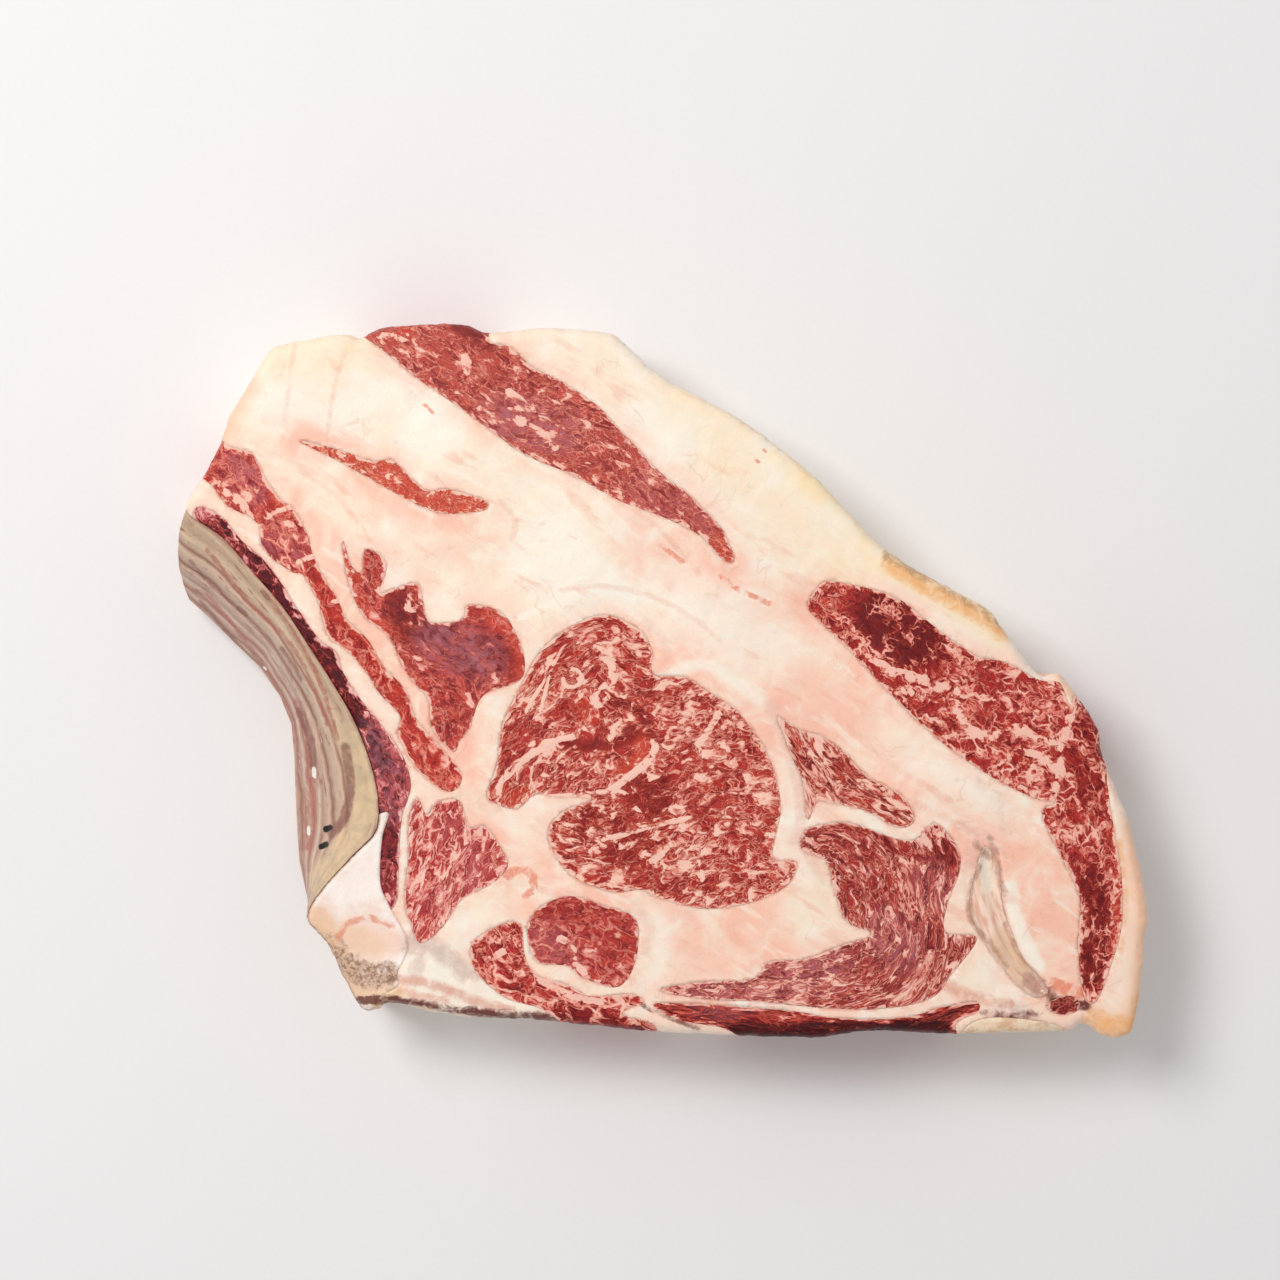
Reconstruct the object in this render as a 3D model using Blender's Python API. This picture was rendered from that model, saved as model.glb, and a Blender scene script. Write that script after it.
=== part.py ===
"""A raw wagyu cote de boeuf: a thick bone-in rib steak lying flat on its lower cut face.

The slab of fat carries every muscle as a plug that runs right through it, from one cut face to the
other. The rib bone leans out along the left edge, and the piece of backbone closes the lower left corner.
"""
import math

import bmesh
import bpy
from mathutils import Vector, noise

# Driving dimensions, in metres.
STEAK_WIDTH = 0.280
THICKNESS = 0.041
GAP = 0.0004
RIB_GAP = 0.0005
TWIST_GAP = 0.3
EDGE_RADIUS = 0.0022
RIB_THICKNESS = 0.0115
RIB_LEAN_LIMIT = 0.0105
RIB_LEAN_REACH = 0.046
RIB_LOW_EDGE = 0.0105
RIB_FOOT = 0.0022
RIB_RIM_DROP = 0.00066
RIDGE_DEPTH = 0.0009
FACE_RELIEF = 0.0011
RELIEF_SPACING = 0.034
CUT_SPARE = 0.004
WELD_DISTANCE = 0.00001
LEVEL_FACE = 0.9999

# The outlines below are in picture units, PICTURE_WIDTH of them to the steak's width, with the
# picture's Y running down. Each is a closed loop of the few points that a smooth curve needs.
PICTURE_WIDTH = 973.0
PICTURE_CENTRE = (663.0, 681.5)
FACE_STEPS = 3
PIECE_STEPS = 2

FACE = [
    (186, 509), (204, 470), (217, 446), (229, 413), (247, 384), (268, 350), (288, 341), (345, 332),
    (359, 335), (385, 325), (458, 322), (490, 331), (545, 326), (600, 330), (622, 338), (664, 376),
    (740, 417), (780, 446), (817, 477), (850, 511), (885, 547), (940, 581), (988, 607), (1008, 632),
    (1041, 674), (1062, 675), (1099, 726), (1105, 757), (1131, 822), (1150, 907), (1148, 940), (1138, 1022),
    (1124, 1039), (1104, 1038), (1084, 1026), (1064, 1033), (960, 1036), (870, 1033), (812, 1040), (660, 1034),
    (545, 1023), (455, 1018), (394, 1005), (378, 1011), (358, 1007), (325, 946), (307, 918),
    (322, 889), (354, 854), (377, 827), (375, 780), (356, 725), (336, 689), (310, 648), (282, 606),
    (255, 575), (222, 537),
]

# The rib's rim is the last stretch of FACE, from its lower tip back up to the first point. Each rim
# point has a partner on the rib's low outer edge, and a share of the full lean.
RIM_START = 46
RIB_OUTER = [
    (299, 916), (294, 896), (288, 868), (286, 838), (284, 798), (283, 762), (280, 727), (268, 698),
    (247, 668), (221, 643), (196, 618), (176, 600),
]
RIB_LEAN = [0.0, 0.9, 0.95, 1.0, 1.0, 1.0, 1.0, 1.0, 0.9, 0.75, 0.55, 0.35]
RIB_END_BULGE = 9.0
RIB_END_SHARE = 1.0 / 3.0
RIB_BONE_SHARE = 0.7
RIB_HOLLOW = 1.5
RIDGE_TURN = 31.0
RIDGE_SWAY = 1.4
RIDGE_SWAY_TURN = 5.0
RIB_SLOPE = [0.02, 0.10, 0.19, 0.28, 0.37, 0.46, 0.55, 0.64, 0.73, 0.82, 0.91, 0.98, 1.0]

TOP_STRIP = [
    (352, 326), (385, 352), (415, 377), (450, 401), (490, 430), (525, 455), (570, 474), (620, 501),
    (665, 518), (700, 536), (723, 560), (735, 560), (722, 529), (700, 506), (684, 491), (660, 472),
    (626, 436), (600, 408), (566, 384), (532, 366), (512, 348), (490, 341), (484, 318), (420, 306), (365, 312),
]
SMALL_STRIP = [
    (299, 441), (340, 450), (372, 461), (392, 460), (412, 479), (428, 491), (447, 489), (474, 496),
    (489, 505), (478, 512), (438, 513), (408, 500), (372, 480), (340, 462),
]
FINGER_MEAT = [
    (232, 447), (252, 453), (263, 473), (281, 500), (291, 506), (306, 530), (315, 560), (338, 600),
    (346, 618), (368, 640), (385, 668), (406, 690), (416, 718), (438, 744), (461, 772), (458, 788),
    (443, 790), (414, 766), (398, 735), (400, 716), (380, 694), (366, 672), (348, 652), (328, 636),
    (318, 602), (304, 576), (290, 571), (264, 550), (256, 522), (228, 506), (212, 486), (190, 466),
    (198, 444), (216, 438),
]
RIB_MEAT = [
    (197, 507), (222, 517), (242, 541), (262, 558), (282, 584), (300, 612), (320, 640), (337, 652),
    (343, 672), (361, 700), (381, 724), (402, 754), (411, 786), (402, 818), (399, 860), (397, 900),
    (386, 910), (372, 884), (372, 845), (366, 823), (358, 790), (341, 735), (292, 652), (238, 588), (196, 535),
]
UPPER_LOBE = [
    (343, 540), (352, 566), (362, 572), (366, 549), (387, 563), (380, 592), (396, 588), (418, 583),
    (424, 604), (430, 622), (462, 620), (468, 605), (501, 612), (519, 640), (525, 664), (518, 682),
    (483, 696), (470, 728), (460, 741), (453, 752), (432, 728), (428, 700), (406, 672), (388, 636),
    (362, 614), (347, 576),
]
FAN_MEAT = [
    (417, 797), (427, 815), (438, 802), (460, 801), (469, 828), (484, 826), (500, 846), (508, 866),
    (492, 884), (462, 900), (442, 928), (420, 943), (407, 914), (404, 894), (408, 860), (409, 820),
]
EYE = [
    (487, 795), (497, 764), (502, 726), (524, 680), (544, 647), (580, 622), (609, 615), (640, 630),
    (652, 650), (654, 674), (684, 677), (708, 691), (741, 715), (769, 756), (781, 806), (773, 856),
    (796, 861), (792, 880), (774, 894), (740, 906), (700, 909), (656, 897), (640, 890), (610, 892),
    (568, 873), (548, 836), (562, 812), (592, 800), (560, 797), (535, 795), (518, 809), (498, 805),
]
CAP_LOBE = [
    (778, 717), (800, 730), (822, 736), (843, 750), (868, 776), (903, 796), (915, 820), (898, 828),
    (868, 812), (838, 805), (818, 802), (808, 820), (803, 785), (792, 757), (784, 735),
]
CAP = [
    (800, 842), (812, 827), (850, 823), (893, 838), (915, 840), (935, 823), (957, 846), (960, 870),
    (947, 906), (946, 932), (977, 938), (952, 974), (930, 999), (880, 1009), (822, 1008), (760, 1002),
    (700, 999), (660, 990), (700, 982), (752, 979), (770, 962), (805, 959), (842, 945), (872, 934),
    (846, 921), (833, 886), (826, 862), (806, 853),
]
EDGE_STRIP = [
    (653, 1005), (680, 1003), (742, 1007), (800, 1012), (835, 1018), (900, 1018), (945, 1007), (976, 1002),
    (978, 1012), (957, 1024), (950, 1050), (850, 1052), (760, 1052), (728, 1030), (680, 1020),
]
ROUND_MEAT = [
    (528, 924), (545, 904), (574, 896), (604, 906), (630, 914), (639, 930), (634, 966), (617, 987),
    (584, 978), (566, 966), (541, 964), (530, 950),
]
CORNER_MEAT = [
    (471, 946), (486, 932), (510, 922), (522, 928), (525, 955), (536, 975), (566, 984), (590, 996),
    (630, 994), (643, 1002), (622, 1014), (655, 1026), (650, 1050), (590, 1045), (545, 1011), (505, 998),
    (476, 972),
]
OUTER_STRIP = [
    (808, 604), (822, 583), (845, 583), (897, 598), (935, 627), (977, 656), (1005, 662), (1040, 680),
    (1060, 683), (1070, 706), (1078, 692), (1104, 694), (1116, 730), (1107, 768), (1111, 810), (1121, 870),
    (1122, 925), (1108, 975), (1096, 1002), (1084, 996), (1078, 945), (1080, 900), (1064, 862), (1046, 826),
    (1043, 810), (1056, 802), (1036, 799), (988, 775), (935, 737), (890, 694), (848, 649), (814, 616),
]
EDGE_MEAT = [
    (1046, 1006), (1058, 998), (1072, 996), (1080, 1004), (1074, 1013), (1056, 1014),
]
TENDON = [
    (985, 846), (999, 864), (1004, 906), (1022, 955), (1048, 988), (1038, 998), (1018, 986), (984, 942),
    (970, 908), (976, 872),
]
CHINE_BONE = [
    (387, 812), (382, 838), (380, 882), (390, 908), (408, 944), (398, 972), (398, 986), (378, 998), (366, 1020),
    (334, 1014), (300, 945), (290, 910), (320, 868), (348, 834),
]
FEATHER_BONE = [
    (966, 1028), (990, 1018), (1030, 1020), (1058, 1026), (1072, 1040), (1066, 1052), (1010, 1054), (960, 1052),
]

# Each piece has its outline, colour, roughness and the pieces that it gives way to.
PIECES = {
    "eye": (EYE, (0.42, 0.075, 0.06), 0.42, []),
    "cap": (CAP, (0.36, 0.085, 0.075), 0.42, []),
    "cap_lobe": (CAP_LOBE, (0.36, 0.10, 0.085), 0.42, []),
    "top_strip": (TOP_STRIP, (0.34, 0.10, 0.085), 0.5, []),
    "outer_strip": (OUTER_STRIP, (0.25, 0.04, 0.04), 0.42, []),
    "small_strip": (SMALL_STRIP, (0.60, 0.14, 0.085), 0.45, []),
    "finger_meat": (FINGER_MEAT, (0.45, 0.075, 0.055), 0.4, []),
    "upper_lobe": (UPPER_LOBE, (0.36, 0.085, 0.07), 0.42, []),
    "fan_meat": (FAN_MEAT, (0.38, 0.09, 0.075), 0.42, []),
    "round_meat": (ROUND_MEAT, (0.34, 0.075, 0.07), 0.4, []),
    "corner_meat": (CORNER_MEAT, (0.28, 0.05, 0.045), 0.42, []),
    "edge_strip": (EDGE_STRIP, (0.12, 0.02, 0.02), 0.4, []),
    "edge_meat": (EDGE_MEAT, (0.16, 0.035, 0.03), 0.5, []),
    "chine_bone": (CHINE_BONE, (0.66, 0.54, 0.42), 0.6, []),
    "rib_meat": (RIB_MEAT, (0.19, 0.04, 0.055), 0.35, ["chine_bone"]),
    "tendon": (TENDON, (0.62, 0.46, 0.34), 0.45, []),
    "feather_bone": (FEATHER_BONE, (0.78, 0.66, 0.44), 0.6, []),
}
FAT_COLOUR = (0.93, 0.80, 0.68)
RIB_COLOUR = (0.50, 0.42, 0.33)


def place(point):
    """Turn a point in picture units into metres, with the steak's middle at the origin."""
    scale = STEAK_WIDTH / PICTURE_WIDTH
    return Vector(((point[0] - PICTURE_CENTRE[0]) * scale, (PICTURE_CENTRE[1] - point[1]) * scale))


def smooth_loop(points, steps):
    """Run a closed smooth curve through the points and return its samples in metres."""
    corners = [place(point) for point in points]
    count = len(corners)
    samples = []
    for i, start in enumerate(corners):
        before, end, after = corners[i - 1], corners[(i + 1) % count], corners[(i + 2) % count]
        for step in range(steps):
            t = step / steps
            samples.append(0.5 * (2.0 * start + (end - before) * t
                                  + (2.0 * before - 5.0 * start + 4.0 * end - after) * t * t
                                  + (3.0 * start - before - 3.0 * end + after) * t * t * t))
    return samples


def smooth_open(values, steps):
    """Blend a row of numbers or points evenly, with the same samples as smooth_loop between its ends."""
    last = len(values) - 1
    blended = []
    for i in range(last * steps + 1):
        k = min(i // steps, last - 1)
        t = i / steps - k
        blended.append(values[k] * (1.0 - t) + values[k + 1] * t)
    return blended


def make_stations():
    """Pair each sample of the rib's rim with its point on the low outer edge and its lean."""
    loop = smooth_loop(FACE, FACE_STEPS)
    rim = loop[RIM_START * FACE_STEPS:] + loop[:1]
    outer = smooth_open([place(point) for point in RIB_OUTER], FACE_STEPS)
    share = smooth_open(RIB_LEAN, FACE_STEPS)
    shifts = []
    for inner, low, part in zip(rim, outer, share):
        across = low - inner
        bone = min(RIB_THICKNESS, RIB_BONE_SHARE * across.length)
        shifts.append(across.normalized() * min(across.length - bone, RIB_LEAN_LIMIT) * part)
    stations = []
    for i, (inner, low, shift) in enumerate(zip(rim, outer, shifts)):
        previous, following = max(i - 1, 0), min(i + 1, len(rim) - 1)
        run = rim[following] - rim[previous]
        twist = (shifts[following] - shifts[previous]).length / 2
        outward = Vector((-run.y, run.x)).normalized() * (RIB_GAP + TWIST_GAP * twist)
        stations.append((inner, low, shift, outward))
    return stations


STATIONS = make_stations()


def lean(point):
    """Give the shift of the slab's lower face at a point: out along the rib, fading away inside."""
    best = None
    for (a, _, lean_a, _), (b, _, lean_b, _) in zip(STATIONS, STATIONS[1:]):
        run = b - a
        t = min(1.0, max(0.0, (point - a).dot(run) / run.length_squared))
        distance = (point - a - run * t).length
        if best is None or distance < best[0]:
            best = (distance, lean_a.lerp(lean_b, t))
    fade = max(0.0, 1.0 - best[0] / RIB_LEAN_REACH)
    return best[1] * (fade * fade * (3.0 - 2.0 * fade))


def relief(point):
    """Give the height of the uneven upper face over its mean level."""
    spot = Vector((point.x, point.y, 0.0)) / RELIEF_SPACING
    return FACE_RELIEF * noise.noise(spot)


def shape_slab(mesh):
    """Lean a straight slab's lower side out under the rib and make its upper side uneven."""
    for vertex in mesh.vertices:
        level = min(1.0, max(0.0, vertex.co.z / THICKNESS))
        flat = Vector((vertex.co.x, vertex.co.y))
        moved = flat + lean(flat) * (1.0 - level)
        vertex.co = (moved.x, moved.y, vertex.co.z + relief(flat) * level)
    mesh.update()


def make_material(name, colour, roughness):
    """Make a plain material in the piece's own colour."""
    material = bpy.data.materials.new(name)
    material.use_nodes = True
    shader = material.node_tree.nodes["Principled BSDF"]
    shader.inputs["Base Color"].default_value = (*colour, 1.0)
    shader.inputs["Roughness"].default_value = roughness
    shader.inputs["Metallic"].default_value = 0.0
    material.diffuse_color = (*colour, 1.0)
    return material


def extrude_outline(name, points, steps, height, grow, rounding, collection):
    """Extrude a flat outline about the slab's middle height and turn it into a closed mesh object."""
    curve = bpy.data.curves.new(name, "CURVE")
    curve.dimensions = "2D"
    curve.fill_mode = "BOTH"
    curve.extrude = height / 2 - rounding
    curve.bevel_depth = rounding
    curve.bevel_resolution = 1
    curve.offset = grow - rounding
    spline = curve.splines.new("POLY")
    samples = smooth_loop(points, steps)
    spline.points.add(len(samples) - 1)
    for control, sample in zip(spline.points, samples):
        control.co = (sample.x, sample.y, 0.0, 1.0)
    spline.use_cyclic_u = True
    drawn = bpy.data.objects.new(name, curve)
    drawn.location.z = THICKNESS / 2
    collection.objects.link(drawn)
    bpy.context.view_layer.update()
    mesh = bpy.data.meshes.new_from_object(drawn.evaluated_get(bpy.context.evaluated_depsgraph_get()))
    mesh.transform(drawn.matrix_world)
    bpy.data.objects.remove(drawn)
    return link_mesh(name, mesh, collection)


def link_mesh(name, mesh, collection):
    """Weld a mesh, join its level faces, turn its faces outward and link it as an object."""
    shape = bmesh.new()
    shape.from_mesh(mesh)
    bmesh.ops.remove_doubles(shape, verts=shape.verts, dist=WELD_DISTANCE)
    level = [edge for edge in shape.edges if all(abs(face.normal.z) > LEVEL_FACE for face in edge.link_faces)]
    bmesh.ops.dissolve_edges(shape, edges=level, use_verts=False)
    bmesh.ops.recalc_face_normals(shape, faces=shape.faces)
    shape.to_mesh(mesh)
    shape.free()
    made = bpy.data.objects.new(name, mesh)
    collection.objects.link(made)
    return made


def cut(target, cutter, operation):
    """Add a Boolean modifier that cuts the target by the cutter."""
    modifier = target.modifiers.new(cutter.name, "BOOLEAN")
    modifier.operation = operation
    modifier.solver = "EXACT"
    modifier.object = cutter


def settle(target):
    """Turn an object's modifiers into its mesh, so that the slab's shape can be given to it."""
    bpy.context.view_layer.update()
    result = bpy.data.meshes.new_from_object(target.evaluated_get(bpy.context.evaluated_depsgraph_get()))
    target.modifiers.clear()
    target.data = result
    shape_slab(target.data)


def build_slab(parts, cutters):
    """Cut the slab into its fat and the pieces that run through it."""
    fat = extrude_outline("fat", FACE, FACE_STEPS, THICKNESS, 0.0, EDGE_RADIUS, parts)
    whole = extrude_outline("whole_slab", FACE, FACE_STEPS, THICKNESS, 0.0, EDGE_RADIUS, cutters)
    tall = THICKNESS + 2 * CUT_SPARE
    pockets = {}
    plugs = {}
    for name, (outline, _, _, _) in PIECES.items():
        plugs[name] = extrude_outline(name, outline, PIECE_STEPS, tall, 0.0, 0.0, parts)
        pockets[name] = extrude_outline(name + "_pocket", outline, PIECE_STEPS, tall, GAP, 0.0, cutters)
        cut(plugs[name], whole, "INTERSECT")
        cut(fat, pockets[name], "DIFFERENCE")
    for name, (_, colour, roughness, gives_way_to) in PIECES.items():
        for other in gives_way_to:
            cut(plugs[name], pockets[other], "DIFFERENCE")
        plugs[name].data.materials.append(make_material(name + "_plain", colour, roughness))
    fat.data.materials.append(make_material("fat_plain", FAT_COLOUR, 0.5))
    for piece in [fat, *plugs.values()]:
        settle(piece)
    for cutter in [whole, *pockets.values()]:
        cutter.hide_render = True
        cutter.display_type = "WIRE"
    return fat


def rib_section(along, inner, low, shift, outward):
    """Give one cross section of the rib: down the ridged slope, under the foot and back up its inner side."""
    across = low - inner
    start = inner + outward
    bulge = RIB_END_BULGE * STEAK_WIDTH / PICTURE_WIDTH * max(0.0, 1.0 - along / RIB_END_SHARE) ** 2
    sway = RIDGE_SWAY * math.sin(along * RIDGE_SWAY_TURN)
    section = []
    for v in RIB_SLOPE:
        ridge = math.sin(v * RIDGE_TURN + sway) * math.sin(math.pi * v) * RIDGE_DEPTH
        flat = start.lerp(low, v)
        flat.x -= bulge * 4.0 * v * (1.0 - v)
        drop = (THICKNESS - RIB_LOW_EDGE) * v ** RIB_HOLLOW
        section.append(Vector((flat.x, flat.y, THICKNESS - RIB_RIM_DROP - drop + ridge)))
    foot = low - across.normalized() * RIB_FOOT
    section.append(Vector((low.x, low.y, RIB_LOW_EDGE / 2)))
    section.append(Vector((foot.x, foot.y, 0.0)))
    heel = start + shift
    section.append(Vector((heel.x, heel.y, 0.0)))
    return section


def build_rib(parts):
    """Loft the curved rib bone through its changing cross sections."""
    shape = bmesh.new()
    rows = []
    count = len(STATIONS)
    for i, station in enumerate(STATIONS):
        along = 1.0 - i / (count - 1)
        rows.append([shape.verts.new(corner) for corner in rib_section(along, *station)])
    for row, following in zip(rows, rows[1:]):
        for k in range(len(row)):
            j = (k + 1) % len(row)
            shape.faces.new((row[k], row[j], following[j], following[k]))
    shape.faces.new(rows[0])
    shape.faces.new(list(reversed(rows[-1])))
    mesh = bpy.data.meshes.new("rib_bone")
    shape.to_mesh(mesh)
    shape.free()
    rib = link_mesh("rib_bone", mesh, parts)
    for face in rib.data.polygons:
        face.use_smooth = True
    rib.data.materials.append(make_material("rib_plain", RIB_COLOUR, 0.55))
    return rib


def centre_on_box(objects):
    """Move every piece so that the steak's box stands on the origin by the middle of its underside."""
    corners = [vertex.co for piece in objects for vertex in piece.data.vertices]
    middle = [(min(c[k] for c in corners) + max(c[k] for c in corners)) / 2 for k in range(2)]
    floor = min(corner.z for corner in corners)
    for piece in objects:
        for vertex in piece.data.vertices:
            vertex.co -= Vector((middle[0], middle[1], floor))


def main():
    """Clear the scene and build the steak."""
    for old in list(bpy.data.objects):
        bpy.data.objects.remove(old, do_unlink=True)
    parts = bpy.data.collections.new("wagyu_cote_de_boeuf")
    cutters = bpy.data.collections.new("cutters")
    bpy.context.scene.collection.children.link(parts)
    bpy.context.scene.collection.children.link(cutters)
    build_slab(parts, cutters)
    build_rib(parts)
    centre_on_box(list(parts.objects))


main()
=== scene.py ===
"""The looks of a raw wagyu cote de boeuf: fat, marbled muscles, rib bone and backbone on a pale floor.

The slab is drawn once as a fine plan of its upper cut face. Each piece takes its own share of that plan
and runs it down to the lower cut face, so that neighbouring pieces meet without a seam.
"""
import math

import bpy
import numpy as np
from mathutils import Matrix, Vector, noise
from mathutils.geometry import delaunay_2d_cdt


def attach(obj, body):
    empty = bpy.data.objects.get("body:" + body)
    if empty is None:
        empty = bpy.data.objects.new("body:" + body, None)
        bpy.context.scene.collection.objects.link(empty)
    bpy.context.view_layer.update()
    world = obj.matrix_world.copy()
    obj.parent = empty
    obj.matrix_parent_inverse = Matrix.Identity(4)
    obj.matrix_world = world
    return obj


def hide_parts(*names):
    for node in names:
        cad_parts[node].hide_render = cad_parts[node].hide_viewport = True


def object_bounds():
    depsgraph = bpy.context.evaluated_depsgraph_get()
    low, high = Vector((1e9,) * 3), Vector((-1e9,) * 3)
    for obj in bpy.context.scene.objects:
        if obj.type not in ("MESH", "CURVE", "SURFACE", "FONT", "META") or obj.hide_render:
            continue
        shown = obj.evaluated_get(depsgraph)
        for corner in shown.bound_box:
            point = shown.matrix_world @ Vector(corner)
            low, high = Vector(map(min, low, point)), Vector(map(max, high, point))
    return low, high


bl_info = {
    "name": "Wagyu cote de boeuf",
    "version": (1, 0, 0),
    "blender": (4, 5, 0),
    "location": "3D View > Sidebar > Steak",
    "description": "Builds a raw bone-in rib steak with marbled muscles over its solid model",
    "category": "Add Mesh",
}

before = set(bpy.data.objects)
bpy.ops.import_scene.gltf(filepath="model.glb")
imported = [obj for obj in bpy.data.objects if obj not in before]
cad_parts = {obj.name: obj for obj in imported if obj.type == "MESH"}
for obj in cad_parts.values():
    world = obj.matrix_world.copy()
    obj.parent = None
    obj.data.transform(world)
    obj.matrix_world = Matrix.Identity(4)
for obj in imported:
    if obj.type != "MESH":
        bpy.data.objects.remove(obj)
CAD_BOX = [list(corner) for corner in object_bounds()]
THICKNESS = 0.041
MM = 0.001
TINY = 1e-9
FAR_AWAY = 99.0  # in millimetres
PICTURE_SIZE = 1280.0
FLOOR_HALF = 1.6

# How finely curves, marks and the cut face are drawn.
OUTLINE_STEPS = 10
FEWEST_POINTS = 12
MARK_STEPS = 5
GRAIN_STEPS = 6
GRAIN_SPREAD = 2.0
ROW_STEPS = 8
ROW_SPACING = 1.6
MOST_ROUNDS = 700
GOOD_FIT = 1e-6

# The relief of the cut face and of the side walls. A wave of the face has a height, a size and a seed.
# A wave of the sides has a depth in millimetres, a width and a height.
FACE_WAVES = [(1.1 * MM, 34 * MM, 0.0), (0.22 * MM, 9 * MM, 3.0), (0.10 * MM, 3.2 * MM, 7.0)]
EDGE_REACH = 14 * MM
MEAT_SINK = 0.35 * MM
MEAT_SINK_REACH = 1.6
DENT_DEPTH = 1.3 * MM
VEIN_RISE = 0.12 * MM
ROUNDING_REACH = 10 * MM
TOP_MARGIN = 0.05 * MM
FOOT_ROUNDING = 1.6 * MM
SIDE_LEVELS = 34
SIDE_DEPTH = 0.5
SIDE_RANGE = (0.06, 1.4)
SIDE_WAVES = [(0.66, 13 * MM, 10 * MM), (0.33, 5 * MM, 4 * MM), (0.165, 2.2 * MM, 2 * MM)]
RIND_SLOPE = 0.6

# How light glows inside fat, meat and bone: how far red, green and blue go, and how deep in all.
FAT_GLOW = (1.0, 0.5, 0.35)
MEAT_GLOW = (1.0, 0.25, 0.18)
BONE_GLOW = (1.0, 0.6, 0.4)
GLOW_DEPTH = 1.2 * MM

# The outlines are in picture units, with the picture's Y running down, and smooth curves run through
# their points. They are the outlines that the solids are cut by.
FACE_STEPS = 3

FACE = [
    (186, 509), (204, 470), (217, 446), (229, 413), (247, 384), (268, 350), (288, 341), (345, 332),
    (359, 335), (385, 325), (458, 322), (490, 331), (545, 326), (600, 330), (622, 338), (664, 376),
    (740, 417), (780, 446), (817, 477), (850, 511), (885, 547), (940, 581), (988, 607), (1008, 632),
    (1041, 674), (1062, 675), (1099, 726), (1105, 757), (1131, 822), (1150, 907), (1148, 940), (1138, 1022),
    (1124, 1039), (1104, 1038), (1084, 1026), (1064, 1033), (960, 1036), (870, 1033), (812, 1040),
    (660, 1034), (545, 1023), (455, 1018), (394, 1005), (378, 1011), (358, 1007), (325, 946), (307, 918),
    (322, 889), (354, 854), (377, 827), (375, 780), (356, 725), (336, 689), (310, 648), (282, 606),
    (255, 575), (222, 537),
]
RIM_START = 46
RIB_OUTER = [
    (299, 916), (294, 896), (288, 868), (286, 838), (284, 798), (283, 762), (280, 727), (268, 698),
    (247, 668), (221, 643), (196, 618), (176, 600),
]
RIB_LEAN = [0.0, 0.9, 0.95, 1.0, 1.0, 1.0, 1.0, 1.0, 0.9, 0.75, 0.55, 0.35]
RIB_THICKNESS = 11.5 * MM
RIB_LEAN_LIMIT = 10.5 * MM
RIB_LEAN_REACH = 46.0 * MM
RIB_LOW_EDGE = 10.5 * MM
RIB_END_BULGE = 2.6 * MM
RIB_SHARE = 0.7
RIM_FADE = 6.0 * MM
RIB_STATIONS = 200
RIB_ROWS = 90
FOOT_ROWS = 14
HEEL_LEVELS = (0.0, 0.35, 0.7)
RIB_GAP = 0.05 * MM
RIB_RIM_DROP = 0.9 * MM
RIB_LOW_INSET = 0.35 * MM
FOOT_INSET = 2.0 * MM
RIDGE_TURN = 31.0
RIDGE_HEIGHT = 0.48 * MM
WANDER_HEIGHT = 1.1 * MM
SAWN_INSET = 0.965
# The rib's last mark is painted shade in its pits.
RIB_MARKS = ["brown", "rose", "olive", "chalk", "painted_pit_shade"]

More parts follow.
